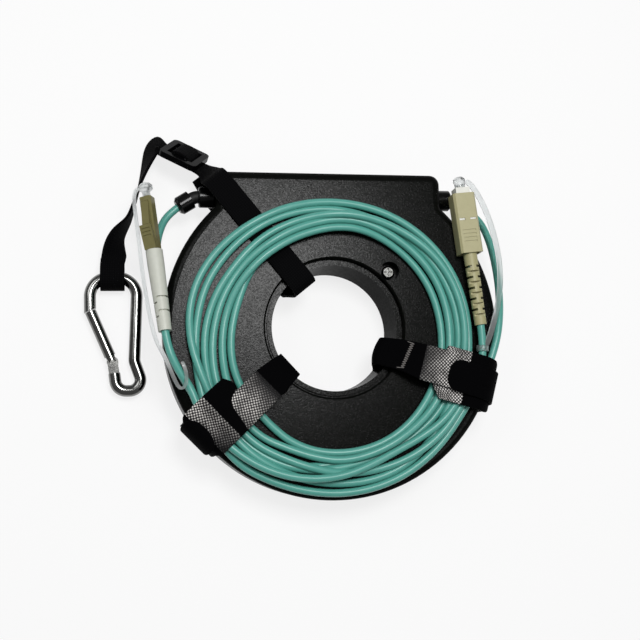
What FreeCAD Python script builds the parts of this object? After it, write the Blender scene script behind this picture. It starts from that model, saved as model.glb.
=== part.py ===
# Launch cable for testing optical fibre: a ring-shaped case holds a long winding of fibre.
# Two jacketed leads leave the case through strain reliefs, are coiled on its front face
# under two hook-and-loop straps, and end in an SC plug and an LC plug with dust caps.
# A webbing lanyard with a slide buckle and a snap hook goes round the ring.
# Millimetres. +Z points out of the front face, +Y towards the flat top edge, and the
# origin is where the axis of the ring's hole meets the surface that the straps lie on.
import FreeCAD, Part
import math
import os

V = FreeCAD.Vector

# Case
ring_radius = 66.0
ring_depth = 22.0
shoulder_inset = 21.0
shoulder_round = 4.0
neck_round = 2.5
wall = 2.2
floor_thick = 2.2
cover_thick = 2.5
cover_height = 6.0
front_round = 3.5
rear_round = 1.8

# Hub through the middle of the ring
hub_bore = 24.1
hub_draft = 0.5
hub_wall = 1.8
hub_ledge = 2.2
hub_drop = 1.3
hub_groove = 0.8
hub_flare = 1.8
rim_round = 0.7

# Cover screws
screw_count = 2
screw_circle = 31.6
screw_angle = 44.5
screw_radius = 1.5
screw_length = 10.0
head_radius = 2.6
head_height = 2.0
recess_width = 0.7
recess_depth = 1.1
pocket_radius = 3.8
pocket_depth = 4.6
pocket_wall = 1.0
pocket_floor = 1.6
boss_wall = 2.4
thread_gap = 0.05
seat_gap = 0.2

# Winding and splices inside the case
winding_width = 12.0
winding_height = 9.0
splice_radius = 1.5
splice_length = 40.0
splice_pitch = 3.8
splice_gap = 0.15
rib_thick = 2.0
rib_spread = 24.0

# Strain reliefs
gland_height = 11.1
gland_radius = 4.2
gland_margin = 0.12
gland_length = 6.4
barrel_radius = 3.0
nut_inset = 0.2
nut_thick = 2.4
neck_radius = 2.5
neck_straight = 1.4
neck_bent = 2.0
gland_bend = 32.0
gland_cap_radius = 3.7
gland_cap_length = 6.0
gland_cap_round = 1.0

# Leads
lead_radius = 1.5
lead_gap = 0.15
lead_socket = 4.0
boot_socket = 3.0
coil_lift = 0.2
coil_height = 5.8
coil_inner = 38.5

# SC plug
sc_heading = 95.9
sc_grip_width = 9.0
sc_grip_thick = 7.4
sc_grip_length = 24.0
sc_grip_wall = 0.7
sc_frame_gap = 0.15
sc_frame_reach = 2.5
sc_frame_back = 20.0
sc_flange_back = 7.0
sc_flange_length = 2.5
sc_flange_radius = 2.05
sc_ferrule_radius = 1.25
sc_ferrule_reach = 3.6
sc_spring_length = 5.5
sc_boot_length = 31.0
sc_boot_front = 2.7
sc_boot_rear = 2.35
sc_slot_width = 0.9
sc_slot_pitch = 2.15
sc_slot_count = 10
sc_slot_start = 5.3
sc_lift = 0.3
sc_cap_length = 4.4
sc_cap_radius = 2.4

# LC plug
lc_heading = 96.9
lc_droop = -7.8
lc_roll = -25.0
lc_width = 4.6
lc_length = 21.5
lc_flange_back = 8.0
lc_flange_length = 2.0
lc_flange_radius = 1.4
lc_ferrule_radius = 0.625
lc_ferrule_reach = 2.0
lc_spring_length = 5.0
lc_boot_length = 31.5
lc_boot_front = 3.2
lc_boot_rear = 2.5
lc_cap_length = 5.5
lc_cap_radius = 2.7

# Shared plug details
post_wall = 0.9
post_flange = 1.5
crimp_wall = 0.4
crimp_length = 8.0
spring_wire = 0.4
spring_turns = 5
cap_gap = 0.35
tether_width = 2.2
tether_thick = 0.6

# Hook-and-loop straps
strap_width = 20.0
strap_thick = 1.4
strap_gap = 0.2
strap_bend = 2.5
strap_end = 45.0
strap_ramp = 4.5
tongue_width = 14.0
tongue_end = 53.0
tongue_joint = 6.0
left_strap_angle = 224.0
left_strap_shift = -6.9
left_tongue_shift = -2.9
right_strap_angle = -16.0
right_strap_shift = -6.8
right_tongue_shift = -5.3

# Lanyard
webbing_width = 10.0
webbing_thick = 1.1
webbing_angle = 128.5
webbing_shift = -1.0
slide_length = 16.0
slide_bar = 2.5
slide_middle_bar = 4.8
slide_thick = 2.4
slide_side = 2.4
slide_gap = 0.5
slide_clear = 0.35
slide_heading = 151.0
slide_tilt = 10.0
slide_roll = 48.0

# Snap hook
hook_width = 18.4
hook_length = 44.8
hook_height = 3.8
hook_wire = 2.3
hook_round = 7.6
hook_end_round = 4.2
hook_kink_round = 5.0
gate_radius = 2.2
gate_gap = 0.4
rivet_radius = 0.9
rivet_gap = 0.05
tongue_thick = 2.2
tongue_gap = 0.3

# Heights and radii that follow from the sizes above
z_back = strap_thick
z_front = z_back + ring_depth
z_part = z_front - cover_height
z_floor = z_back + floor_thick
hub_top = z_front - hub_drop
lip_radius = hub_bore + hub_draft + hub_wall
cover_hole = lip_radius + hub_groove
ledge_radius = lip_radius + hub_ledge
pocket_seat = z_front - pocket_depth
boss_top = pocket_seat - pocket_floor
boss_radius = screw_radius + boss_wall
winding_inner = screw_circle + boss_radius + 1.0
winding_outer = winding_inner + winding_width
coil_low = z_front + coil_lift
coil_top = coil_low + coil_height
shoulder_half = ring_radius - shoulder_inset
side_low = math.sqrt((ring_radius + neck_round) ** 2 - (shoulder_half + neck_round) ** 2)
gland_y = side_low + gland_radius + gland_margin
flat_top = gland_y + gland_radius + gland_margin + shoulder_round
gland_z = z_back + gland_height

# Where the plugs lie: the middle of each plug's front face
sc_front = V(ring_radius - 14.1, 52.3, z_front + sc_grip_thick / 2 + sc_lift)
lc_front = V(-ring_radius - 5.4, 50.4, z_front - 0.9)

# Middle of the slide buckle
slide_middle = V(-shoulder_half - 11.7, flat_top + 9.5, z_back + 8.4)

# Snap hook's middle line, lying flat, from the nose round to the hinge
hook_bow = V(-ring_radius - 18.5, 23.0, hook_height)
hook_nose = hook_bow + V(-0.489 * hook_width, -0.297 * hook_length, 0)
hook_left = hook_bow + V(-0.5 * hook_width, 0, 0)
hook_right = hook_bow + V(0.5 * hook_width, 0, 0)
hook_kink = hook_bow + V(0.429 * hook_width, -0.743 * hook_length, 0)
hook_end_right = hook_bow + V(0.647 * hook_width, -hook_length, 0)
hook_end_left = hook_bow + V(0.06 * hook_width, -hook_length, 0)
hook_stop = hook_bow + V(0.011 * hook_width, -0.848 * hook_length, 0)
gate_pivot = hook_bow + V(-0.0217 * hook_width, -0.75 * hook_length, 0)


# Small helpers


def export(name, shape):
    """Write one piece, after a check that it is sound."""
    assert shape.isValid() and shape.Solids, name
    shape.exportStep("parts/" + name + ".step")


def box(low, high):
    """A box between two corners."""
    size = high - low
    return Part.makeBox(size.x, size.y, size.z, low)


def cylinder(radius, low, high, x=0.0, y=0.0):
    """An upright cylinder between two heights."""
    return Part.makeCylinder(radius, high - low, V(x, y, low))


def rod(radius, start, end):
    """A cylinder between two points."""
    along = end - start
    return Part.makeCylinder(radius, along.Length, start, along)


def flat_face(points):
    """A flat face with straight sides."""
    return Part.Face(Part.makePolygon(points + points[:1]))


def turned(profile):
    """A solid turned about the Y axis from (radius, y) points."""
    points = [V(radius, y, 0) for radius, y in profile]
    return flat_face(points).revolve(V(0, 0, 0), V(0, 1, 0), 360)


def plate(points, axis):
    """A flat outline pushed along an axis vector."""
    return flat_face(points).extrude(axis)


def fuse_all(shapes):
    """One solid from overlapping or touching ones."""
    whole = shapes[0]
    for shape in shapes[1:]:
        whole = whole.fuse(shape)
    return whole.removeSplitter()


def rounded_path(points, radii):
    """Straight runs joined by tangent arcs, one radius for each inner point."""
    edges = []
    start = points[0]
    for before, corner, after, radius in zip(points, points[1:], points[2:], radii):
        to_before = (before - corner).normalize()
        to_after = (after - corner).normalize()
        half = (math.pi - to_before.getAngle(to_after)) / 2
        reach = radius * math.tan(half)
        first = corner + to_before * reach
        last = corner + to_after * reach
        inward = (to_before + to_after).normalize()
        middle = corner + inward * (radius / math.cos(half) - radius)
        edges.append(Part.LineSegment(start, first).toShape())
        edges.append(Part.Arc(first, middle, last).toShape())
        start = last
    edges.append(Part.LineSegment(start, points[-1]).toShape())
    return Part.Wire(edges)


def round_sweep(path, radius):
    """A round bar along a path."""
    first = path.OrderedEdges[0]
    start = first.firstVertex(True).Point
    heading = first.tangentAt(first.FirstParameter)
    ring = Part.Wire(Part.makeCircle(radius, start, heading))
    return path.makePipeShell([ring], True, False)


def cord(name, points, radius):
    """A lead along hand-chosen points, with each arc as large as its two runs allow."""
    radii = []
    for before, corner, after in zip(points, points[1:], points[2:]):
        turn = math.pi - (before - corner).getAngle(after - corner)
        run = min((corner - before).Length, (after - corner).Length)
        radii.append(0.45 * run / math.tan(turn / 2))
    path = rounded_path(points, radii)
    solid = round_sweep(path, radius)
    share = solid.Volume / (math.pi * radius ** 2 * path.Length)
    print(name, "radii", [round(r, 1) for r in radii], "length", round(path.Length, 1), "volume share",
          round(share, 4))
    return solid


def flat_sweep(points, radii, across, width, thick):
    """A flat strip along a path in one plane, its width along the plane's normal."""
    path = rounded_path(points, radii)
    along = (points[1] - points[0]).normalize()
    out = along.cross(across).normalize() * (thick / 2)
    side = across * (width / 2)
    start = points[0]
    corners = [start + side + out, start + side - out, start - side - out, start - side + out]
    sweep = Part.BRepOffsetAPI.MakePipeShell(path)
    sweep.setBiNormalMode(across)
    sweep.add(Part.makePolygon(corners + corners[:1]))
    sweep.build()
    sweep.makeSolid()
    return sweep.shape()


def ribbon(points, sides, width, thick):
    """A webbing strip through sections, each with its own direction across the strip."""
    sections = []
    for i, (point, side) in enumerate(zip(points, sides)):
        before = points[max(i - 1, 0)]
        after = points[min(i + 1, len(points) - 1)]
        back = (point - before) if i else (after - point)
        ahead = (after - point) if i < len(points) - 1 else back
        tangent = (back.normalize() + ahead.normalize()).normalize()
        across = (side - tangent * side.dot(tangent)).normalize()
        mitre = max(tangent.dot(ahead.normalize()), 0.5)
        out = tangent.cross(across) * (thick / 2 / mitre)
        half = across * (width / 2)
        sections.append([point + half + out, point + half - out, point - half - out, point - half + out])
    faces = [flat_face(sections[0]), flat_face(sections[-1])]
    for one, two in zip(sections, sections[1:]):
        for i in range(4):
            j = (i + 1) % 4
            if abs((one[j] - one[i]).cross(two[i] - one[i]).dot(two[j] - one[i])) < 1e-7:
                faces.append(flat_face([one[i], one[j], two[j], two[i]]))
            else:
                faces.append(flat_face([one[i], one[j], two[j]]))
                faces.append(flat_face([one[i], two[j], two[i]]))
    strip = Part.makeSolid(Part.makeShell(faces))
    if strip.Volume < 0:
        strip.reverse()
    return strip


def spring(radius, front, length):
    """A square-wire compression spring along Y, behind a front plane."""
    pitch = (length - spring_wire) / spring_turns
    helix = Part.makeHelix(pitch, pitch * spring_turns, radius)
    half = spring_wire / 2
    corners = [V(radius - half, 0, -half), V(radius + half, 0, -half), V(radius + half, 0, half),
               V(radius - half, 0, half)]
    sweep = Part.BRepOffsetAPI.MakePipeShell(Part.Wire(helix.Edges))
    sweep.setBiNormalMode(V(0, 0, 1))
    sweep.add(Part.makePolygon(corners + corners[:1]))
    sweep.build()
    sweep.makeSolid()
    coil = sweep.shape()
    coil.rotate(V(0, 0, 0), V(1, 0, 0), 90)
    coil.translate(V(0, front - half, 0))
    return coil


def plug_turn(heading, tilt=0.0):
    """Rotation from a plug's own frame, nose along +Y, to the way the plug points."""
    return FreeCAD.Rotation(heading - 90, 0, tilt)


def placed(shape, front, turn, roll=0.0):
    """Move a plug's piece to where the plug lies, rolled about the plug's own axis."""
    shape = shape.copy()
    turn = turn.multiply(FreeCAD.Rotation(V(0, 1, 0), roll))
    shape.Placement = FreeCAD.Placement(front, turn).multiply(shape.Placement)
    return shape


# Case


def outline(inset):
    """Face of the case's outline: a ring with a flat top and square shoulders, moved inwards."""
    radius = ring_radius - inset
    half = shoulder_half - inset
    top = flat_top - inset
    corner = shoulder_round - inset
    neck = neck_round + inset
    low = math.sqrt((radius + neck) ** 2 - (half + neck) ** 2)
    corner = max(corner, 0.4)
    touch = V(half + neck, low, 0) * (radius / (radius + neck))
    toward = V(-1, 0, 0) + V(-half - neck, -low, 0).normalize()
    bend = V(half + neck, low, 0) + toward.normalize() * neck
    slant = corner * (1 - math.sqrt(0.5))

    def mirrored(point):
        return V(-point.x, point.y, 0)

    side = V(half, low, 0)
    turn = V(half, top - corner, 0)
    turn_mid = V(half - slant, top - slant, 0)
    flat = V(half - corner, top, 0)
    edges = [
        Part.Arc(touch, bend, side).toShape(),
        Part.LineSegment(side, turn).toShape(),
        Part.Arc(turn, turn_mid, flat).toShape(),
        Part.LineSegment(flat, mirrored(flat)).toShape(),
        Part.Arc(mirrored(flat), mirrored(turn_mid), mirrored(turn)).toShape(),
        Part.LineSegment(mirrored(turn), mirrored(side)).toShape(),
        Part.Arc(mirrored(side), mirrored(bend), mirrored(touch)).toShape(),
        Part.Arc(mirrored(touch), V(0, -radius, 0), touch).toShape(),
    ]
    return Part.Face(Part.Wire(edges))


def slab(inset, low, high):
    """The outline as a block between two heights."""
    face = outline(inset)
    face.translate(V(0, 0, low))
    return face.extrude(V(0, 0, high - low))


def edges_at(shape, height):
    """Edges that lie wholly at one height."""
    flat = []
    for edge in shape.Edges:
        box_of = edge.BoundBox
        if abs(box_of.ZMin - height) < 1e-6 and abs(box_of.ZMax - height) < 1e-6:
            flat.append(edge)
    return flat


def screw_places():
    """Where the cover screws stand."""
    places = []
    for i in range(screw_count):
        angle = math.radians(screw_angle + 360.0 * i / screw_count)
        places.append(V(screw_circle * math.cos(angle), screw_circle * math.sin(angle), 0))
    return places


def splice_rows():
    """Middle of each splice protector, side by side behind the flat top."""
    middle = (winding_outer + flat_top - wall) / 2
    height = z_floor + splice_radius + splice_gap
    return [V(0, middle + side * splice_pitch / 2, height) for side in (-1, 1)]


def rear_shell():
    """Dish with the hub tube, screw bosses, splice ribs and the two gland holes."""
    block = slab(0, z_back, z_part)
    block = block.makeFillet(rear_round, edges_at(block, z_back))
    shell = block.cut(slab(wall, z_floor, z_part + 1))
    ledge_top = z_front - cover_thick
    hub = cylinder(ledge_radius, z_floor - 0.1, ledge_top)
    hub = hub.fuse(cylinder(lip_radius, ledge_top - 1, hub_top))
    shell = shell.fuse(hub)
    for place in screw_places():
        shell = shell.fuse(cylinder(boss_radius, z_floor - 0.1, boss_top, place.x, place.y))
        seat = pocket_radius + pocket_wall + seat_gap
        shell = shell.cut(cylinder(seat, boss_top, z_front, place.x, place.y))
        pilot = screw_radius + thread_gap
        shell = shell.cut(cylinder(pilot, pocket_seat - screw_length - 0.5, z_front, place.x, place.y))
    rows = splice_rows()
    reach = splice_radius + splice_gap + rib_thick / 2
    for x in (-rib_spread / 2, rib_spread / 2):
        low = V(x - rib_thick / 2, rows[0].y - reach, z_floor - 0.1)
        high = V(x + rib_thick / 2, rows[1].y + reach, rows[0].z + splice_radius)
        shell = shell.fuse(box(low, high))
    groove = splice_radius + splice_gap
    for row in rows:
        half = V(rib_spread / 2 + rib_thick, 0, 0)
        shell = shell.cut(rod(groove, row - half, row + half))
        shell = shell.cut(box(row - half - V(0, groove, 0), row + half + V(0, groove, splice_radius + 1)))
    bore = Part.makeCone(hub_bore, hub_bore + hub_draft, hub_top - z_back, V(0, 0, z_back))
    flare = Part.makeCone(hub_bore + hub_flare, hub_bore, hub_flare, V(0, 0, z_back))
    shell = shell.cut(bore).cut(flare)
    for side in (-1, 1):
        start = V(side * (shoulder_half - wall - 1), gland_y, gland_z)
        shell = shell.cut(rod(barrel_radius + thread_gap, start, start + V(side * (wall + 2), 0, 0)))
    return shell.removeSplitter()


def front_cover():
    """Lid with rounded front edges, the hub hole and the screw pockets."""
    block = slab(0, z_part, z_front)
    block = block.makeFillet(front_round, edges_at(block, z_front))
    cover = block.cut(slab(wall, z_part - 1, z_front - cover_thick))
    for place in screw_places():
        cover = cover.fuse(cylinder(pocket_radius + pocket_wall, boss_top, z_front - 1, place.x, place.y))
    hole = cylinder(cover_hole, z_part - 1, z_front + 1)
    flare = Part.makeCone(cover_hole, cover_hole + rim_round, rim_round, V(0, 0, z_front - rim_round))
    cover = cover.cut(hole).cut(flare)
    for place in screw_places():
        cover = cover.cut(cylinder(pocket_radius, pocket_seat, z_front + 1, place.x, place.y))
        cover = cover.cut(cylinder(screw_radius + seat_gap, boss_top - 1, z_front, place.x, place.y))
    return cover.removeSplitter()


def cover_screws():
    """Pan-head screws with cross recesses, seated in the pockets."""
    crown = head_height * 0.35
    screws = []
    for place in screw_places():
        seat = pocket_seat
        head = cylinder(head_radius, seat, seat + head_height - crown)
        top = Part.makeCone(head_radius, head_radius - crown, crown, V(0, 0, seat + head_height - crown))
        shank = cylinder(screw_radius, seat - screw_length, seat + 0.1)
        screw = head.fuse(top).fuse(shank)
        arm = head_radius * 0.65
        for x, y in ((arm, recess_width / 2), (recess_width / 2, arm)):
            low = V(-x, -y, seat + head_height - recess_depth)
            screw = screw.cut(box(low, V(x, y, seat + head_height + 1)))
        screw = screw.removeSplitter()
        screw.translate(place)
        screws.append(screw)
    return Part.makeCompound(screws)


def fibre_winding():
    """The long fibre, wound flat on the case's floor."""
    ring = cylinder(winding_outer, z_floor, z_floor + winding_height)
    return ring.cut(cylinder(winding_inner, z_floor - 1, z_floor + winding_height + 1))


def splice_sleeves():
    """Two heat-shrunk sleeves over the joints between the fibre and the leads."""
    half = V(splice_length / 2, 0, 0)
    return [rod(splice_radius, row - half, row + half) for row in splice_rows()]


# Strain reliefs


def gland(side):
    """Body, lock nut, bent neck and cap of one strain relief, on the left (-1) or right (1)."""
    out = V(side, 0, 0)
    seat = V(side * shoulder_half, gland_y, gland_z)
    bore = lead_radius + lead_gap
    barrel_end = seat - out * (wall + nut_thick + 1)
    body = rod(gland_radius, seat, seat + out * gland_length)
    rim = [edge for edge in body.Edges if edge.BoundBox.XLength < 1e-6]
    body = body.makeChamfer(0.5, rim)
    body = body.fuse(rod(barrel_radius, barrel_end, seat + out)).cut(rod(bore, barrel_end, seat + out))
    nut_face = seat - out * wall
    radius = (gland_radius - nut_inset) / math.cos(math.radians(30))
    corners = []
    for i in range(6):
        angle = math.radians(60 * i + 30)
        corners.append(nut_face + V(0, radius * math.cos(angle), radius * math.sin(angle)))
    nut = plate(corners, out * -nut_thick)
    nut = nut.cut(rod(barrel_radius + thread_gap, nut_face - out * 5, nut_face + out))
    bend = math.radians(gland_bend)
    lean = V(side * math.cos(bend), -math.sin(bend), 0)
    pivot = seat + out * (gland_length + neck_straight)
    cap_face = pivot + lean * neck_bent
    neck_bend = 0.9 * min(neck_straight, neck_bent) / math.tan(bend / 2)
    neck = round_sweep(rounded_path([seat + out * gland_length, pivot, cap_face], [neck_bend]), neck_radius)
    cap_end = cap_face + lean * gland_cap_length
    cap = rod(gland_cap_radius, cap_face, cap_end - lean * gland_cap_round)
    taper = Part.makeCone(gland_cap_radius, gland_cap_radius - gland_cap_round, gland_cap_round,
                          cap_end - lean * gland_cap_round, lean)
    cap = cap.fuse(taper).cut(rod(bore, cap_end - lean * lead_socket, cap_end + lean))
    return body.removeSplitter(), nut, neck, cap.removeSplitter()


# Leads


def coil_outline(radii):
    """Closed curve about the ring's axis through radii given at angles in degrees."""
    points = []
    for angle, radius in radii:
        turn = math.radians(angle)
        points.append(V(radius * math.cos(turn), radius * math.sin(turn), coil_low))
    curve = Part.BSplineCurve()
    curve.interpolate(Points=points, PeriodicFlag=True)
    return Part.Face(Part.Wire(curve.toShape()))


def lead_coil(notch):
    """Outer shape of the coiled leads on the front face, with room for the webbing under it."""
    inset = [(0, 12.0), (25, 13.8), (55, 14.7), (90, 14.0), (120, 13.0), (150, 10.8), (175, 7.6), (190, 5.6),
             (205, 3.2), (235, 1.6), (270, 0.7), (305, 0.8), (325, 1.4), (337, 3.0), (348, 9.6)]
    spread = [(0, 4.3), (30, 2.1), (60, 0.8), (90, 0.1), (120, 0), (150, 0), (180, 0.1), (205, 1.9),
              (230, 5.0), (255, 8.9), (280, 10.1), (305, 9.5), (330, 6.9)]
    outer = [(angle, ring_radius - gap) for angle, gap in inset]
    inner = [(angle, coil_inner + gap) for angle, gap in spread]
    ring = coil_outline(outer).cut(coil_outline(inner))
    return ring.extrude(V(0, 0, coil_height)).cut(notch)


# Plugs


def sc_pieces():
    """All pieces of the SC plug, nose along +Y, with the grip's front face at the origin."""
    half_w = sc_grip_width / 2
    half_t = sc_grip_thick / 2
    back = -sc_grip_length
    grip = box(V(-half_w, back, -half_t), V(half_w, 0, half_t))
    long_edges = [edge for edge in grip.Edges if edge.BoundBox.YLength > 1]
    grip = grip.makeChamfer(0.8, long_edges)
    hollow_w = half_w - sc_grip_wall
    hollow_t = half_t - sc_grip_wall
    grip = grip.cut(box(V(-hollow_w, back - 1, -hollow_t), V(hollow_w, 1, hollow_t)))
    window = back + 13.0
    for x in (-half_w * 0.5, half_w * 0.5):
        low = V(x - 1.2, window, hollow_t - 1)
        grip = grip.cut(box(low, V(x + 1.2, window + 0.9, half_t + 1)))
    for i in range(4):
        y = back + 4.0 + 1.5 * i
        for z in (-half_t - 1 + 0.3, half_t - 0.3):
            grip = grip.cut(box(V(-half_w * 0.6, y, z), V(half_w * 0.6, y + 0.7, z + 1)))
    key = box(V(-1.1, back + 10, -half_t - 0.7), V(1.1, -1, -half_t + 0.1))
    grip = grip.fuse(key).removeSplitter()

    frame_w = hollow_w - sc_frame_gap
    frame_t = hollow_t - sc_frame_gap
    bore = sc_flange_radius + cap_gap
    nose_bore = sc_ferrule_radius + cap_gap
    frame = box(V(-frame_w, -sc_frame_back, -frame_t), V(frame_w, sc_frame_reach, frame_t))
    frame = frame.cut(rod(bore, V(0, -sc_frame_back - 1, 0), V(0, -sc_flange_back, 0)))
    frame = frame.cut(rod(nose_bore, V(0, -sc_flange_back - 1, 0), V(0, sc_frame_reach + 1, 0)))
    for x in (-1, 1):
        low = V(min(x * frame_w, x * (frame_w - 0.8)), -2, -frame_t - 1)
        high = V(max(x * frame_w, x * (frame_w - 0.8)) + 0.01, sc_frame_reach + 1, frame_t + 1)
        frame = frame.cut(box(low, high))

    flange_face = -sc_flange_back - thread_gap
    flange_back = flange_face - sc_flange_length
    ferrule = turned([(0, flange_back), (sc_flange_radius, flange_back), (sc_flange_radius, flange_face),
                      (sc_ferrule_radius, flange_face), (sc_ferrule_radius, sc_ferrule_reach - 0.3),
                      (sc_ferrule_radius - 0.3, sc_ferrule_reach), (0, sc_ferrule_reach)])
    coil = spring(bore - spring_wire / 2 - 0.3, flange_back, sc_spring_length)
    post_front = flange_back - sc_spring_length
    post = plug_post(post_front, -sc_frame_back, bore - thread_gap, hollow_t - 0.35)
    boot_end = -sc_frame_back - post_flange - sc_boot_length
    boot = plug_boot(-sc_frame_back, boot_end, sc_boot_front, sc_boot_rear, 0)
    core = lead_radius * 0.6
    for i in range(sc_slot_count):
        y = -sc_grip_length - sc_slot_start - sc_slot_pitch * i
        low = y - sc_slot_width / 2
        high = y + sc_slot_width / 2
        for side in (-1, 1):
            near = side * core
            far = side * (sc_boot_front + 1)
            if i % 2:
                corners = V(-4, low, min(near, far)), V(4, high, max(near, far))
            else:
                corners = V(min(near, far), low, -4), V(max(near, far), high, 4)
            boot = boot.cut(box(*corners))
    crimp = plug_crimp(-sc_frame_back)
    cap = dust_cap(sc_frame_reach + 0.15, sc_cap_length, sc_cap_radius, sc_ferrule_radius, sc_ferrule_reach)
    return grip, frame, ferrule, coil, post, crimp, boot.removeSplitter(), cap


def plug_post(front, seat, radius, flange):
    """Turned metal post behind a spring, with a flange on the plug's back face and a stem."""
    stem = lead_radius * 0.6 + post_wall * 0.5
    bore = stem - post_wall * 0.8
    behind = seat - post_flange
    end = behind - crimp_length - 1.0
    return turned([(bore, front), (radius, front), (radius, seat), (flange, seat), (flange, behind),
                   (stem, behind), (stem, end), (bore, end)])


def plug_crimp(seat):
    """Crimp sleeve over the post's stem."""
    inner = lead_radius * 0.6 + post_wall * 0.5 + thread_gap
    top = seat - post_flange - 0.5
    low = top - crimp_length
    return turned([(inner, low), (inner + crimp_wall, low), (inner + crimp_wall, top), (inner, top)])


def plug_boot(seat, end, front, rear, cup):
    """Tapered boot over the crimp, with a socket for the lead; cup is the hollow round the flange, if any."""
    behind = seat - post_flange
    hollow = lead_radius * 0.6 + post_wall * 0.5 + crimp_wall + 0.2
    deep = behind - crimp_length - 1.2
    bore = lead_radius + lead_gap
    mouth = [(hollow, behind), (front, behind)]
    if cup:
        mouth = [(hollow, behind), (cup, behind), (cup, seat), (front, seat)]
    return turned(mouth + [(front, behind - 4), (rear, end), (bore, end), (bore, end + boot_socket),
                           (0, end + boot_socket), (0, deep), (hollow, deep)])


def dust_cap(face, length, radius, ferrule, reach):
    """Soft cap over a ferrule: a plain skirt that widens to a knob."""
    bore = ferrule + cap_gap
    deep = reach + 0.4
    skirt = bore + 0.5
    end = face + length
    return turned([(bore, face), (skirt, face), (skirt, face + length * 0.4), (radius, face + length * 0.62),
                   (radius, end - 0.8), (radius - 0.8, end), (0, end), (0, deep), (bore, deep)])


def lc_pieces():
    """All pieces of the LC plug, nose along +Y, with the housing's front face at the origin."""
    half = lc_width / 2
    back = -lc_length
    bore = lc_flange_radius + 0.2
    housing = box(V(-half, back, -half), V(half, 0, half))
    upright = [edge for edge in housing.Edges if edge.BoundBox.YLength > 1]
    housing = housing.makeChamfer(0.5, upright)
    latch_w = half * 0.62
    latch = [V(-latch_w, -1.5, half - 0.2), V(-latch_w, -2.4, half + 0.8), V(-latch_w, -12.0, half + 2.2),
             V(-latch_w, -12.0, half + 1.3), V(-latch_w, -3.5, half - 0.2)]
    trigger = []
    for y, z in ((0, -0.2), (0, 0.9), (4, 1.9), (9, 3.2), (9, 2.3), (3.4, -0.2)):
        trigger.append(V(-half, back + y, half + z))
    housing = housing.fuse(plate(latch, V(2 * latch_w, 0, 0))).fuse(plate(trigger, V(2 * half, 0, 0)))
    for i in range(3):
        y = back + 4.6 + 1.3 * i
        low = V(-half * 0.7, y, half + 1.8 + 0.26 * 1.3 * i)
        housing = housing.cut(box(low, low + V(half * 1.4, 0.6, 2)))
    housing = housing.cut(rod(bore, V(0, back - 1, 0), V(0, -lc_flange_back, 0)))
    nose_bore = lc_ferrule_radius + cap_gap
    housing = housing.cut(rod(nose_bore, V(0, -lc_flange_back - 1, 0), V(0, 1, 0))).removeSplitter()

    flange_face = -lc_flange_back - thread_gap
    flange_back = flange_face - lc_flange_length
    ferrule = turned([(0, flange_back), (lc_flange_radius, flange_back), (lc_flange_radius, flange_face),
                      (lc_ferrule_radius, flange_face), (lc_ferrule_radius, lc_ferrule_reach - 0.15),
                      (lc_ferrule_radius - 0.15, lc_ferrule_reach), (0, lc_ferrule_reach)])
    coil = spring(bore - spring_wire / 2 - 0.2, flange_back, lc_spring_length)
    post_front = flange_back - lc_spring_length
    post = plug_post(post_front, back, bore - thread_gap, half - 0.2)
    crimp = plug_crimp(back)
    boot = plug_boot(back, back - lc_boot_length, lc_boot_front, lc_boot_rear, half - 0.2 + thread_gap)
    for i, deep in enumerate((18.8, 20.9, 24.1, 26.2)):
        side = 1 if i % 2 else -1
        low = V(min(0.4 * side, -5 * side), back - deep - 0.35, -5)
        boot = boot.cut(box(low, low + V(4.6, 0.7, 10)).cut(rod(2.0, V(0, back - 10, 0), V(0, back - 30, 0))))
    cap = dust_cap(0.15, lc_cap_length, lc_cap_radius, lc_ferrule_radius, lc_ferrule_reach)
    return housing, ferrule, coil, post, crimp, boot.removeSplitter(), cap


# Straps


def strap(angle, shift, tongue_shift):
    """One strap: its tongue lies on the coil, goes down the hole and joins the body under the ring; the body
    goes up round the outside and over the coil, and ends on the tongue."""
    along = V(math.cos(math.radians(angle)), math.sin(math.radians(angle)), 0)
    across = V(-along.y, along.x, 0)
    reach = abs(tongue_shift) + tongue_width / 2
    half = strap_thick / 2
    inside = math.sqrt(hub_bore ** 2 - reach ** 2) - strap_gap - half
    outside = ring_radius + strap_gap + half
    top = coil_top + strap_gap + half
    over = top + strap_thick + strap_gap / 2
    coil_in = math.sqrt(coil_inner ** 2 - reach ** 2)
    joint = lip_radius + tongue_joint
    ramp = tongue_end + strap_thick

    def band(route, aside, width):
        points = [along * s + across * aside + V(0, 0, z) for s, z in route]
        return flat_sweep(points, [strap_bend] * (len(route) - 2), across, width, strap_thick)

    tongue = band([(tongue_end, top), (coil_in - 1.2, top), (inside, z_front + 1.2), (inside, half),
                   (joint + tongue_joint, half)], tongue_shift, tongue_width)
    body = band([(joint, half), (outside, half), (outside, z_front - 1.5), (outside - 1.4, top),
                 (ramp + strap_ramp, top), (ramp, over), (strap_end, over)], shift, strap_width)
    return tongue.fuse(body).removeSplitter()


# Lanyard


def webbing_frame():
    """Directions along and across the webbing where it lies on the ring."""
    angle = math.radians(webbing_angle)
    along = V(math.cos(angle), math.sin(angle), 0)
    return along, V(-along.y, along.x, 0)


def strip_side(heading, roll):
    """Direction across a strip that runs along a heading, with its left edge lifted by a roll angle."""
    turn = math.radians(heading)
    lift = math.radians(roll)
    return V(-math.sin(turn) * math.cos(lift), math.cos(turn) * math.cos(lift), math.sin(lift))


def slide_frame():
    """Directions along, across and out of the slide buckle."""
    turn = math.radians(slide_heading)
    tilt = math.radians(slide_tilt)
    run = V(math.cos(turn) * math.cos(tilt), math.sin(turn) * math.cos(tilt), -math.sin(tilt))
    side = strip_side(slide_heading, slide_roll)
    side = (side - run * side.dot(run)).normalize()
    return run, side, run.cross(side)


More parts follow.
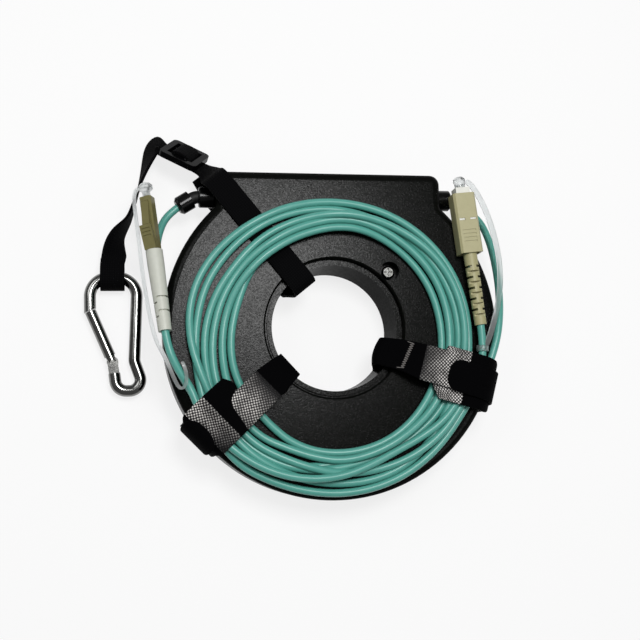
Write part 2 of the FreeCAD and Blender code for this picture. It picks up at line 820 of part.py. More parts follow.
def ring_loop_points():
    """Webbing's middle line from its sewn end, under the ring, up the hole and over the front."""
    along, across = webbing_frame()
    half = webbing_thick / 2
    reach = abs(webbing_shift) + webbing_width / 2
    inside = math.sqrt(hub_bore ** 2 - reach ** 2) - strap_gap - half
    corner = V(shoulder_half, flat_top, 0).Length
    run, side, out = slide_frame()
    sewn = slide_middle - run * (slide_length / 2 + 2.2) - out * (slide_thick / 2 + half + slide_clear)
    start = sewn - out * (webbing_thick + 0.3)
    start += across * (webbing_shift - start.dot(across))
    over = front_round + half + strap_gap
    round_s = corner - shoulder_round * (math.sqrt(2) - 1) - front_round
    round_z = z_front - front_round
    route = [(corner - 0.5, half + 0.1), (inside, half + 0.1), (inside, round_z + over)]
    for step in (67.5, 22.5):
        reach = over / math.cos(math.radians(22.5))
        turn = math.radians(step)
        route.append((round_s + reach * math.cos(turn), round_z + reach * math.sin(turn)))
    route.append((round_s + over + 0.4, round_z - 1.0))
    loop = [along * s + across * webbing_shift + V(0, 0, z) for s, z in route]
    between = loop[-1] * 0.45 + sewn * 0.55
    points = [start] + loop + [between, sewn]
    sides = [across] * (len(loop) + 1) + [across * 0.6 + side * 0.4, side]
    return points, sides


def slide_points():
    """Webbing's way through the slide: under an end bar, over the middle bar, under the other."""
    run, side, out = slide_frame()
    low = -(slide_thick / 2 + webbing_thick / 2 + slide_clear)
    high = -low
    rise = slide_middle_bar / 2 + 0.5
    drop = slide_length / 2 - slide_bar - 0.5
    ends = slide_length / 2 + 3.0
    route = [(-drop, low), (-rise, high), (rise, high), (drop, low), (ends, low)]
    return [slide_middle + run * u + out * w for u, w in route]


def lanyard_webbing():
    """One webbing strip: round the ring, through the slide, down to a loop round the snap hook."""
    points, sides = ring_loop_points()
    through = slide_points()
    points += through
    sides += [slide_frame()[1]] * len(through)
    near_slide = [
        (V(-10.5, 5.1, -2.4), 180, 56), (V(-12.9, 2.5, -3.0), 225, 64), (V(-14.9, -2.3, -3.5), 247, 74),
    ]
    near_hook = [
        (V(11.6, 38.2, 2.2), 251, 84), (V(8.3, 26.6, 2.1), 252, 88), (V(5.9, 20.2, 2.1), 242, 104),
        (V(3.1, 15.4, 1.9), 244, 138), (V(1.5, 11.2, 1.6), 258, 166), (V(0.8, 7.4, 1.4), 266, 180),
    ]
    for middle, tail in ((slide_middle, near_slide), (hook_bow, near_hook)):
        points += [middle + point for point, heading, roll in tail]
        sides += [strip_side(heading, roll) for point, heading, roll in tail]
    level = V(-1, 0, 0)
    bow = hook_bow + V(0.2, 0, 0)
    mid = hook_wire + 1.1 + webbing_thick / 2
    low = webbing_thick / 2 + 0.05 - hook_height
    loop = [(mid + 1.5, mid - 0.6), (1.2, mid + 1.0), (-mid + 0.4, mid + 0.3), (-mid - 1.3, 1.2),
            (-mid - 1.2, -1.2), (-mid + 0.5, low), (mid + 1.2, low + 0.3), (mid + 3.6, low + 2.9)]
    points += [bow + V(0, y, z) for y, z in loop]
    sides += [level] * len(loop)
    return ribbon(points, sides, webbing_width, webbing_thick)


def webbing_notch():
    """Room for the webbing's front run under the coil."""
    along, across = webbing_frame()
    low = z_front - 1
    high = z_front + webbing_thick + 0.4
    half = across * (webbing_width / 2 + 0.5)
    start = along * hub_bore + across * webbing_shift + V(0, 0, low)
    end = along * (shoulder_half + flat_top) + across * webbing_shift + V(0, 0, low)
    return plate([start - half, end - half, end + half, start + half], V(0, 0, high - low))


def webbing_slide():
    """Three-bar slide buckle."""
    run, across, out = slide_frame()
    half_w = webbing_width / 2 + slide_gap + slide_side
    slot_w = webbing_width / 2 + slide_gap

    def block(u0, u1, half, w0, w1):
        corners = []
        for u, side in ((u0, -half), (u1, -half), (u1, half), (u0, half)):
            corners.append(slide_middle + run * u + across * side + out * w0)
        return plate(corners, out * (w1 - w0))

    half_l = slide_length / 2
    half_t = slide_thick / 2
    frame = block(-half_l, half_l, half_w, -half_t, half_t)
    rims = [edge for edge in frame.Edges if abs(edge.Length - slide_thick) < 1e-6]
    frame = frame.makeFillet(2.0, rims)
    inner = slide_middle_bar / 2
    outer = half_l - slide_bar
    for low, high in ((-outer, -inner), (inner, outer)):
        frame = frame.cut(block(low, high, slot_w, -half_t - 1, half_t + 1))
    return frame.removeSplitter()


# Snap hook


def hook_body():
    """Round bar bent to a pear shape, with a flat tongue for the gate's hinge."""
    start = hook_nose - V(0, 2 * hook_wire, 0)
    points = [start, hook_left, hook_right, hook_kink, hook_end_right, hook_end_left, hook_stop]
    radii = [hook_round, hook_round, hook_kink_round, hook_end_round, hook_end_round]
    bar = round_sweep(rounded_path(points, radii), hook_wire)
    shut = (hook_nose - gate_pivot).normalize()
    bar = bar.cut(rod(2 * hook_wire, hook_nose - shut * (4 * hook_wire), hook_nose))
    along = (gate_pivot - hook_stop).normalize()
    across = V(-along.y, along.x, 0) * (hook_wire - 0.3)
    base = V(0, 0, -tongue_thick / 2)
    root = hook_stop - along * 1.0 + base
    tip = gate_pivot + base
    tongue = plate([root - across, tip - across, tip + across, root + across], V(0, 0, tongue_thick))
    eye = Part.makeCylinder(hook_wire - 0.3, tongue_thick, tip)
    pin_hole = Part.makeCylinder(rivet_radius, tongue_thick + 2, tip - V(0, 0, 1))
    return fuse_all([bar, tongue, eye]).cut(pin_hole)


def hook_gate():
    """Gate bar with a fork round the tongue; it swings inwards about the rivet."""
    along = (hook_nose - gate_pivot).normalize()
    tip = hook_nose - along * gate_gap
    bar = rod(gate_radius, gate_pivot, tip)
    eye_half = gate_radius * 0.8
    eye = Part.makeCylinder(gate_radius, 2 * eye_half, gate_pivot - V(0, 0, eye_half))
    gate = fuse_all([bar, eye])
    slot_half = tongue_thick / 2 + tongue_gap
    slot = Part.makeCylinder(hook_wire + 1.0, 2 * slot_half, gate_pivot - V(0, 0, slot_half))
    hole = Part.makeCylinder(rivet_radius + rivet_gap, 10, gate_pivot - V(0, 0, 5))
    return gate.cut(slot).cut(hole).removeSplitter()


def gate_rivet():
    """Rivet through the tongue and the gate's fork."""
    half = gate_radius * 0.8
    return Part.makeCylinder(rivet_radius, 2 * half, gate_pivot - V(0, 0, half))


# Lead and tether routes, chosen by hand from the way the real ones lie


def beside(side, out, along, rise):
    """A point out from the ring's left (-1) or right (1) side, and up from the front face."""
    return V(side * (ring_radius + out), along, z_front + rise)


def gland_mouth(side):
    """Bottom of the lead's socket in a gland cap, and the direction out of it."""
    bend = math.radians(gland_bend)
    lean = V(side * math.cos(bend), -math.sin(bend), 0)
    start = V(side * (shoulder_half + gland_length + neck_straight), gland_y, gland_z)
    return start + lean * (neck_bent + gland_cap_length - lead_socket), lean


def tether(points, lead_from, lead_to):
    """Moulded strip from a dust cap to a ring round the lead, part of the way along one run of it."""
    along = (lead_to - lead_from).normalize() * (tether_width / 2)
    middle = lead_from + (lead_to - lead_from) * 0.38
    inner = lead_radius + 2 * lead_gap
    points = points + [middle + (points[-1] - middle).normalize() * (inner + tether_thick / 2)]
    sides = []
    for before, after in zip([points[0]] + points, points[1:] + [points[-1]]):
        sides.append(V(0, 0, 1).cross(after - before))
    strip = ribbon(points, sides, tether_width, tether_thick)
    eye = rod(inner + tether_thick, middle - along, middle + along)
    return strip.fuse(eye).cut(rod(inner, middle - along * 4, middle + along * 4))


def main():
    """Build every piece and write it."""
    export("rear_shell", rear_shell())
    export("front_cover", front_cover())
    export("cover_screws", cover_screws())
    export("fibre_winding", fibre_winding())
    for name, sleeve in zip(("left", "right"), splice_sleeves()):
        export(name + "_splice_sleeve", sleeve)
    for name, side in (("left", -1), ("right", 1)):
        for piece, shape in zip(("body", "nut", "neck", "cap"), gland(side)):
            export(name + "_gland_" + piece, shape)

    sc_turn = plug_turn(sc_heading)
    lc_turn = plug_turn(lc_heading, lc_droop)
    sc_names = ("grip", "frame", "ferrule", "spring", "post", "crimp", "boot", "dust_cap")
    for piece, shape in zip(sc_names, sc_pieces()):
        export("sc_" + piece, placed(shape, sc_front, sc_turn))
    lc_names = ("housing", "ferrule", "spring", "post", "crimp", "boot", "dust_cap")
    for piece, shape in zip(lc_names, lc_pieces()):
        export("lc_" + piece, placed(shape, lc_front, lc_turn, lc_roll))

    mouth, lean = gland_mouth(-1)
    left_route = [
        mouth, mouth + lean * 8.4, beside(-1, 1.2, 38.6, -9.1), beside(-1, 2.2, 28.6, -6.4),
        beside(-1, 1.6, 18.4, -2.8), beside(-1, 0.4, 8.8, 0.2), beside(-1, -2.4, -0.4, 1.9),
        beside(-1, -5.6, -9.2, 2.1), beside(-1, -10.0, -17.0, 2.1),
    ]
    mouth, lean = gland_mouth(1)
    right_route = [
        mouth, mouth + lean * 8.4, beside(1, 1.6, 38.2, -8.8), beside(1, 2.7, 28.0, -6.0),
        beside(1, 2.3, 17.6, -2.8), beside(1, 1.0, 7.6, 0.2), beside(1, -0.7, -2.0, 1.8),
        beside(1, -2.6, -10.8, 2.2), beside(1, -5.4, -19.0, 2.5), beside(1, -9.4, -26.4, 2.6),
    ]
    sc_back = sc_turn.multVec(V(0, -1, 0))
    lc_back = lc_turn.multVec(V(0, -1, 0))
    sc_socket = sc_front + sc_back * (sc_frame_back + post_flange + sc_boot_length - boot_socket)
    lc_socket = lc_front + lc_back * (lc_length + lc_boot_length - boot_socket)
    sc_route = [sc_socket, sc_socket + sc_back * 8.6, beside(1, -8.8, -15.2, 3.7), beside(1, -12.2, -22.8, 3.5)]
    lc_route = [lc_socket, lc_socket + lc_back * 8.6, beside(-1, -5.2, -15.8, 6.2), beside(-1, -10.0, -22.0, 4.4)]
    export("left_lead_tail", cord("left_lead_tail", left_route, lead_radius))
    export("right_lead_tail", cord("right_lead_tail", right_route, lead_radius))
    export("sc_lead_end", cord("sc_lead_end", sc_route, lead_radius))
    export("lc_lead_end", cord("lc_lead_end", lc_route, lead_radius))

    sc_strip = [
        beside(1, -11.4, 57.6, 4.2), beside(1, -8.6, 54.8, 4.2), beside(1, -6.0, 50.6, 3.8),
        beside(1, -3.0, 44.0, 3.4), beside(1, -0.4, 34.3, 3.1), beside(1, 1.2, 24.3, 2.9),
        beside(1, 1.3, 14.1, 3.4), beside(1, -0.4, 5.0, 4.6), beside(1, -3.2, -3.2, 5.2),
        beside(1, -5.2, -6.6, 4.8),
    ]
    lc_strip = []
    for x, y, z in ((-3.7, 3.8, 0), (-5.0, 0.8, 0), (-5.1, -8, -0.4), (-5.1, -18, -0.4), (-5.4, -29, -0.2),
                    (-5.2, -38, 0), (-4.8, -47, 0.2), (-4.2, -56, 0.2)):
        lc_strip.append(lc_front + lc_turn.multVec(V(x, y, z)))
    lc_strip.append(beside(-1, 1.4, -11.4, 7.0))
    export("sc_cap_tether", tether(sc_strip, sc_route[1], sc_route[2]))
    export("lc_cap_tether", tether(lc_strip, lc_route[1], lc_route[2]))
    export("lead_coil", lead_coil(webbing_notch()))

    export("left_strap", strap(left_strap_angle, left_strap_shift, left_tongue_shift))
    export("right_strap", strap(right_strap_angle, right_strap_shift, right_tongue_shift))
    export("lanyard_webbing", lanyard_webbing())
    export("webbing_slide", webbing_slide())
    export("snap_hook_body", hook_body())
    export("snap_hook_gate", hook_gate())
    export("gate_rivet", gate_rivet())


main()
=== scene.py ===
# %% [markdown]
# # An optical launch cable
# A flat ring-shaped case holds a long length of bare fibre. Two aqua leads come out of it, lie coiled on
# its front face under two hook-and-loop straps, and end in an SC plug and an LC plug. A webbing lanyard
# with a snap hook hangs from the case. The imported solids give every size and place, and this script gives
# each surface its finish and models what is soft.

# %% Load the frame
import math
import bmesh
import bpy
from mathutils import Matrix, Vector


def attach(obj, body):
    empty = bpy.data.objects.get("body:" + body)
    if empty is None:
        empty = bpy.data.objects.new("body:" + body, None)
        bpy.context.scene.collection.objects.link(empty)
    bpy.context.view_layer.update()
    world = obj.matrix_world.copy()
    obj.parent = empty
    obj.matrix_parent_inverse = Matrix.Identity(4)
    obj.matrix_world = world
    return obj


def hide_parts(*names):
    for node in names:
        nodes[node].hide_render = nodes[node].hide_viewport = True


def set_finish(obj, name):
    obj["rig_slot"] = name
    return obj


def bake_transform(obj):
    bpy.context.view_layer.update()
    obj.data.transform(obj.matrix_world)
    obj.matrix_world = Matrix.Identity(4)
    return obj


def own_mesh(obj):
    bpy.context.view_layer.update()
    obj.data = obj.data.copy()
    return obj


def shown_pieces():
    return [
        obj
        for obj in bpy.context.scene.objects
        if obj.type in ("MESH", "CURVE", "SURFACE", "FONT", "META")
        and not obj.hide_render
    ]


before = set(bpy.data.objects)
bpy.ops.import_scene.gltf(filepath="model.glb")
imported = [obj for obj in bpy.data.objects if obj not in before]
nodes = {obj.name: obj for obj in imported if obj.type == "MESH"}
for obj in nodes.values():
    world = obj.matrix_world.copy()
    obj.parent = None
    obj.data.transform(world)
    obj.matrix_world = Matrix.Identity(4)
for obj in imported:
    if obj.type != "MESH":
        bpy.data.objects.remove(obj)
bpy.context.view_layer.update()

MM = 0.001

# %% [markdown]
# ## The camera
# The photo looks down on the face of the case from slightly below and left of its middle. A camera's place
# and turn can be worked out from a few points whose real places are known. Here that gave three small turns
# and a distance, so the camera is placed with one matrix in place of aiming it by eye.

# %% Camera
IMAGE_SIDE = 640
FOCAL_PIXELS = 976.6
SENSOR_WIDTH = 36.0
CLIP_START = 0.01
VIEW_TURNS = Vector((-7.83, 9.89, 1.01))
VIEW_OFFSET = Vector((1.96, -6.04, -400.0)) * MM

turn_angle = math.radians(VIEW_TURNS.length)
world_to_view = Matrix.Rotation(turn_angle, 3, VIEW_TURNS.normalized())
view_to_world = world_to_view.transposed()
camera_data = bpy.data.cameras.new("photo_camera")
camera_data.sensor_width = SENSOR_WIDTH
camera_data.lens = FOCAL_PIXELS * SENSOR_WIDTH / IMAGE_SIDE
camera_data.clip_start = CLIP_START
camera = bpy.data.objects.new("photo_camera", camera_data)
bpy.context.scene.collection.objects.link(camera)
camera.matrix_world = Matrix.Translation(-(view_to_world @ VIEW_OFFSET)) @ view_to_world.to_4x4()
bpy.context.scene.camera = camera
print("camera at", [round(c / MM, 1) for c in camera.matrix_world.translation])

# %% [markdown]
# ## The two leads
# Each lead is one 3 mm jacketed cable. It leaves its gland, runs down the side of the case, goes a little
# over three turns round the ring and ends in its plug. The way in and out is a short list of points. The
# turns could be drawn by hand in the same way, but where turns cross, one must lie on the other. So a lane
# says how far from the ring's axis each turn lies at a few stations round the ring, a turn is drawn through
# them, and each turn is laid on what lies there already, from the lowest turn to the top one.

# %% Lanes of the turns
# Lengths are in millimetres and angles in degrees.
LEAD_DIAMETER = 3.0
FACE_HEIGHT = 23.55
# Strands that cross press into each other a little, so they lie closer than a diameter.
STACK_PITCH = 2.75
# Heights are found at every step and eased over a few steps each side. Every fourth step becomes a point.
STEP = 3
EASE_STEPS = 4
POINT_EVERY = 4
# A turn begins at the left of the ring. The tails take over at the first and last angles.
TURN_START = 192
FIRST_ANGLE, LAST_ANGLE = 210, 3 * 360 + 324

STATIONS = (205, 229, 250, 270, 290, 308, 324, 344, 360, 385, 413, 440, 463, 486, 509, 525, 540)
left_turns = (
    (60.0, 60.0, 56.0, 52.0, 49.0, 47.2, 46.4, 46.9, 46.5, 45.2, 42.9, 41.0, 39.5, 39.5, 39.2, 38.8, 40.2),
    (43.2, 44.7, 47.8, 48.4, 47.8, 46.2, 44.5, 43.2, 41.8, 40.7, 39.8, 39.4, 38.0, 38.0, 39.9, 41.8, 43.4),
    (47.0, 51.2, 50.0, 51.2, 49.6, 48.6, 48.3, 45.6, 44.6, 43.7, 42.3, 42.4, 41.0, 41.0, 43.0, 44.9, 46.9),
    (51.0, 54.6, 54.2, 55.8, 57.0, 57.6, 57.6, 57.8),
)
right_turns = (
    (61.2, 61.4, 60.0, 56.8, 52.6, 53.4, 55.4, 54.0, 53.0, 51.9, 50.3, 49.3, 49.6, 51.0, 54.5, 56.3, 56.4),
    (54.9, 58.2, 59.2, 59.8, 59.8, 57.2, 53.2, 51.2, 50.2, 48.6, 45.6, 44.0, 43.6, 44.4, 45.4, 47.8, 50.1),
    (53.6, 56.6, 56.6, 53.8, 51.8, 51.6, 51.6, 49.2, 48.3, 46.8, 45.2, 46.0, 47.0, 48.7, 50.8, 52.6, 53.6),
    (57.4, 63.9, 63.5, 63.4, 62.6, 61.0, 59.6, 59.8),
)
# Lowest first. Turns are counted the way the lanes are listed, anticlockwise from the left.
LAYING_ORDER = (("left", 0), ("right", 2), ("right", 3), ("left", 1), ("left", 2), ("right", 1), ("left", 3),
                ("right", 0))
# The webbing lies on the face under the turns, so they rise over it, on a slope each side of its middle.
WEBBING_HEADING = 128.5
WEBBING_RISE = 1.2
WEBBING_REACH, WEBBING_SLOPE = 17, 10


def lane_points(turns):
    """The stations of a lead as (running angle, radius), from its first turn to its last."""
    return [(angle + 360 * number, radius)
            for number, turn in enumerate(turns) for angle, radius in zip(STATIONS, turn)]


def radius_at(points, angle):
    """A smooth curve through the stations, by cubic spans with the slope of their neighbours."""
    spans = len(points) - 1
    i = max(k for k in range(spans) if points[k][0] <= angle or k == 0)
    (a0, r0), (a1, r1) = points[i], points[i + 1]
    before = points[max(i - 1, 0)]
    after = points[min(i + 2, spans)]
    slope0 = (r1 - before[1]) / (a1 - before[0])
    slope1 = (after[1] - r0) / (after[0] - a0)
    t = (angle - a0) / (a1 - a0)
    width = a1 - a0
    return ((1 + 2 * t) * (1 - t) ** 2 * r0 + t * (1 - t) ** 2 * width * slope0
            + t * t * (3 - 2 * t) * r1 + t * t * (t - 1) * width * slope1)


def bed_height(angle):
    """The height of the lowest strand's middle: the face, and the webbing where it runs under the turns."""
    off = abs((angle - WEBBING_HEADING + 180) % 360 - 180)
    over = min(max((WEBBING_REACH - off) / WEBBING_SLOPE, 0), 1)
    return FACE_HEIGHT + LEAD_DIAMETER / 2 + WEBBING_RISE * over * over * (3 - 2 * over)


lanes = {"left": lane_points(left_turns), "right": lane_points(right_turns)}
heights = {"left": {}, "right": {}}
laid = {}
for lead, number in LAYING_ORDER:
    points = lanes[lead]
    first = max(points[0][0], TURN_START + 360 * number)
    last = min(points[-1][0], TURN_START + 360 * (number + 1))
    first = math.ceil(first / STEP) * STEP
    new = []
    for angle in range(first, math.floor(last / STEP) * STEP + 1, STEP):
        radius = radius_at(points, angle)
        height = bed_height(angle)
        for other_radius, other_height in laid.get(angle % 360, []):
            apart = abs(radius - other_radius)
            if apart < STACK_PITCH:
                height = max(height, other_height + math.sqrt(STACK_PITCH ** 2 - apart ** 2))
        heights[lead][angle] = height
        new.append((angle % 360, radius, height))
    for place, radius, height in new:
        laid.setdefault(place, []).append((radius, height))


def turn_points(lead):
    """The points of a lead's turns, with the heights eased over the strands beside them."""
    points = []
    for angle in range(FIRST_ANGLE, LAST_ANGLE + 1, STEP * POINT_EVERY):
        around = range(angle - EASE_STEPS * STEP, angle + EASE_STEPS * STEP + 1, STEP)
        near = [heights[lead][a] for a in around if a in heights[lead]]
        radius = radius_at(lanes[lead], angle)
        turn = math.radians(angle)
        points.append((radius * math.cos(turn), radius * math.sin(turn), sum(near) / len(near)))
    return points


print("highest strand", round(max(max(h.values()) for h in heights.values()), 1))

# %% Routes of the leads
SECTION_STEPS, SPAN_STEPS = 4, 6
left_tail = [(-56.19, 51.56, 12.5), (-63.32, 47.11, 12.5), (-67.2, 38.6, 14.3), (-68.2, 28.6, 17.0),
             (-67.6, 18.4, 20.6), (-66.7, 8.8, 23.6), (-65.4, 0.2, 25.1), (-63.6, -8.2, 25.2),
             (-60.2, -15.8, 25.1), (-56.2, -22.8, 25.05)]
right_tail = [(56.19, 51.56, 12.5), (63.32, 47.11, 12.5), (66.8, 38.4, 14.6), (68.0, 28.2, 17.4),
              (68.0, 17.6, 20.6), (67.0, 7.6, 23.6), (65.3, -2.0, 25.2), (62.6, -10.6, 25.6),
              (58.9, -18.8, 25.6), (54.2, -25.8, 25.3)]
sc_end = [(53.8, -22.8, 26.4), (57.2, -15.2, 27.1), (57.87, -5.49, 27.4), (56.99, 3.06, 27.4)]
lc_end = [(-56.0, -22.4, 28.1), (-60.6, -16.0, 29.6), (-64.42, -7.24, 30.45), (-65.45, 1.22, 29.29)]
left_route = left_tail + turn_points("left") + sc_end
right_route = right_tail + turn_points("right")[::-1] + lc_end


def lead_curve(name, route):
    """One smooth open spline with a round section, along the route's points."""
    curve = bpy.data.curves.new(name, "CURVE")
    curve.dimensions = "3D"
    # The size of the section is in each point's radius, because the curve's box grows by that radius.
    curve.bevel_depth = 1.0
    curve.bevel_resolution = SECTION_STEPS
    curve.resolution_u = SPAN_STEPS
    curve.use_fill_caps = True
    spline = curve.splines.new("NURBS")
    spline.points.add(len(route) - 1)
    for point, place in zip(spline.points, route):
        point.co = [c * MM for c in place] + [1.0]
        point.radius = LEAD_DIAMETER / 2 * MM
    spline.order_u = 3
    spline.use_endpoint_u = True
    lead = bpy.data.objects.new(name, curve)
    bpy.context.scene.collection.objects.link(lead)
    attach(lead, "case")
    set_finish(lead, "jacket_aqua")
    return lead


left_lead = lead_curve("left_lead", left_route)
right_lead = lead_curve("right_lead", right_route)
for lead in (left_lead, right_lead):
    print(lead.name, "length in mm", round(lead.data.splines[0].calc_length() / MM))

# %% [markdown]
# ## Flat bands
# Straps, webbing and moulded strips are all flat bands that follow a run of rungs. By hand, the end edge of
# a narrow grid is extruded again and again, and each new rung of this ladder is laid where the band passes.
# Three modifiers then finish it: Subdivision Surface rounds the run, Solidify gives the thickness and Bevel
# softens the edges. A curve with a flat profile could do this too, but its twist is harder to steer than
# the rungs are.

# %% Band from rungs
# The edge is rounded by this share of the thickness, and by no more than this many millimetres.
EDGE_ROUND = 0.25
EDGE_SEGMENTS = 2
SMOOTH_LEVELS = 2
SMOOTH_ANGLE = 40


def apply_modifiers(piece):
    """Apply every modifier of a piece, in order, and turn its faces outwards."""
    bpy.ops.object.select_all(action="DESELECT")
    piece.select_set(True)
    bpy.context.view_layer.objects.active = piece
    for modifier in list(piece.modifiers):
        bpy.ops.object.modifier_apply(modifier=modifier.name)
    bpy.ops.object.mode_set(mode="EDIT")
    bpy.ops.mesh.select_all(action="SELECT")
    bpy.ops.mesh.normals_make_consistent(inside=False)
    bpy.ops.object.mode_set(mode="OBJECT")
    bpy.ops.object.shade_smooth_by_angle(angle=math.radians(SMOOTH_ANGLE))


def band(name, rungs, thick, corners="PRESERVE_CORNERS"):
    """A flat band through rungs, each a list of points across the band in millimetres."""
    columns = len(rungs[0]) - 1
    bpy.ops.object.select_all(action="DESELECT")
    bpy.ops.mesh.primitive_grid_add(x_subdivisions=columns, y_subdivisions=1, size=1)
    piece = bpy.context.object
    piece.name = piece.data.name = name
    bpy.ops.object.mode_set(mode="EDIT")
    bpy.ops.mesh.select_mode(type="EDGE")
    bpy.ops.mesh.select_all(action="DESELECT")
    ladder = bmesh.from_edit_mesh(piece.data)
    for edge in ladder.edges:
        edge.select_set(all(vertex.co.y > 0 for vertex in edge.verts))
    bmesh.update_edit_mesh(piece.data)
    for _ in rungs[2:]:
        bpy.ops.mesh.extrude_edges_move(TRANSFORM_OT_translate={"value": (0, 1, 0)})
    bpy.ops.object.mode_set(mode="OBJECT")

    rungs = [[Vector(point) for point in points] for points in rungs]
    run = [0.0]
    for one, two in zip(rungs, rungs[1:]):
        run.append(run[-1] + (two[columns // 2] - one[columns // 2]).length)
    # The grid is one unit wide, and each rung is one unit further on.
    place = {v.index: (round(v.co.y + 0.5), round((v.co.x + 0.5) * columns)) for v in piece.data.vertices}
    grid = piece.data.uv_layers.active.data
    for loop in piece.data.loops:
        row, column = place[loop.vertex_index]
        width = (rungs[row][-1] - rungs[row][0]).length
        grid[loop.index].uv = ((column / columns - 0.5) * width * MM, run[row] * MM)
    for vertex in piece.data.vertices:
        row, column = place[vertex.index]
        vertex.co = rungs[row][column] * MM

    smooth = piece.modifiers.new("rounded run", "SUBSURF")
    smooth.levels = smooth.render_levels = SMOOTH_LEVELS
    smooth.boundary_smooth = corners
    wall = piece.modifiers.new("thickness", "SOLIDIFY")
    wall.thickness = thick * MM
    wall.offset = 0
    edges = piece.modifiers.new("soft edges", "BEVEL")
    edges.width = EDGE_ROUND * min(thick, 1) * MM
    edges.segments = EDGE_SEGMENTS
    apply_modifiers(piece)
    print(name, "run in mm", round(run[-1]), "faces", len(piece.data.polygons))
    return piece


# %% [markdown]
# ## The two straps
# Each strap is a strip of hook-and-loop tape. A narrow tongue comes up out of the hole and lies on the
# coil. The wide body comes round the outside, lies over the coil too, and a rounded tab closes it. They are
# bands in a plane through the ring's axis, so a rung needs its distance along the strap, its height and its
# place aside. Where the tape is bent or cut at a slant, a rung gives the two edges, or all five points
# across.

# %% Straps
STRAP_THICK = 1.4
TAB_THICK = 1.1
# Heights of the tape over the coil: the first layer, the second, and the right tab on both.
LOWER, UPPER, HIGHEST = 30.3, 31.8, 33.0
ACROSS = 5
HOLE_WALL = 23.2
# How far out from the hole's edge the tape starts to bend over it.
BRINK = 0.9
LEFT_HEADING, RIGHT_HEADING = 224.0, -16.0


def strap_point(heading, along, aside, height):
    """A point of a strap: along its heading, aside from it and up."""
    turn = math.radians(heading)
    x = along * math.cos(turn) - aside * math.sin(turn)
    y = along * math.sin(turn) + aside * math.cos(turn)
    return (x, y, height)


def spread(value):
    """A value for each point across: from one number for all, from one at each edge, or from all five."""
    if not isinstance(value, tuple):
        return (value,) * ACROSS
    if len(value) == 2:
        return tuple(value[0] + (value[1] - value[0]) * k / (ACROSS - 1) for k in range(ACROSS))
    return value


def strap_rungs(heading, rows):
    """Rungs from rows of (along, height, aside)."""
    rungs = []
    for along, height, aside in rows:
        across = zip(spread(along), spread(aside), spread(height))
        rungs.append([strap_point(heading, *place) for place in across])
    return rungs


def strap_rows(route, aside):
    """Rows of one width from a route of (along, height)."""
    return [(along, height, aside) for along, height in route]


def down_hole(edge, aside):
    """The way over the hole's edge, down along its wall and under the ring."""
    def towards_wall(share):
        return tuple(e + (HOLE_WALL - e) * share for e in edge)

    top = tuple(e + BRINK for e in edge)
    route = [(top, 25.1), (edge, 23.4), (edge, 20.5), (towards_wall(0.55), 12.0), (towards_wall(0.85), 5.0),
             (HOLE_WALL, 2.2), (24.4, 0.95), (27.0, 0.7), (31.0, 0.7)]
    return strap_rows(route, aside)


# The way on under the ring and up its outside, as (along, height).
UNDER = [(46.0, 0.7), (60.0, 0.7), (65.2, 0.75), (66.6, 1.5), (66.9, 3.4), (66.9, 10.0), (66.9, 19.0)]

left_tongue = strap_rows([(53.0, LOWER), (50.0, LOWER), (44.0, LOWER), (38.6, LOWER), (36.2, LOWER),
                          (34.6, 29.8)], (-9.9, 3.4))
left_tongue += [(30.0, 28.0, (-9.2, 3.3)), (26.0, 26.3, (-8.6, 3.2))]
left_tongue += down_hole((22.8, 22.9, 23.0, 23.1, 23.2), (-7.8, 3.0))
left_body = strap_rows(UNDER + [(66.7, 22.8), (66.2, 26.2)], (-15.4, 1.8))
left_body += strap_rows([(65.3, 28.6), (63.8, 29.9), (61.8, LOWER), (59.6, 30.4), (58.2, 30.9), (56.8, 31.6),
                         (55.4, UPPER)], (-17.2, 3.3))
# The end is cut at a slant: one side reaches further over the coil and lies lower.
left_body += [((50.6, 50.4, 53.0, 53.4, 54.0), UPPER, (-17.0, -12.4, -10.6, -3.6, 3.3)),
              ((45.6, 42.0, 50.0, 50.8, 52.2), (30.3, 30.1, UPPER, UPPER, UPPER),
               (-16.7, -10.2, -9.7, -3.6, 3.3))]
left_strap = band("left_strap_tape", strap_rungs(LEFT_HEADING, left_tongue + left_body), STRAP_THICK)

right_tongue = strap_rows([(51.0, UPPER), (47.0, UPPER), (41.0, UPPER), (37.6, UPPER), (35.6, 31.6)],
                          (-12.2, 1.7))
right_tongue += [(33.4, 30.8, (-11.6, 1.8)), (28.0, 28.5, (-10.2, 1.8)), (21.8, 26.0, (-9.8, 1.4))]
right_tongue += down_hole((18.4, 17.5, 17.5, 17.9, 18.8), (-9.8, 0.9))
right_body = strap_rows(UNDER + [(66.4, 22.0)], (-15.4, 2.4))
right_body += strap_rows(
    [(65.0, 25.0), (63.3, 27.5), (61.2, 29.3), (58.8, 30.2), (53.0, LOWER), (48.6, LOWER),
     ((46.0, 42.6, 43.0, 44.0, 45.6), LOWER), ((44.4, 39.6, 40.5, 42.0, 43.6), LOWER)], (-17.0, 3.9))
right_strap = band("right_strap_tape", strap_rungs(RIGHT_HEADING, right_tongue + right_body), STRAP_THICK)

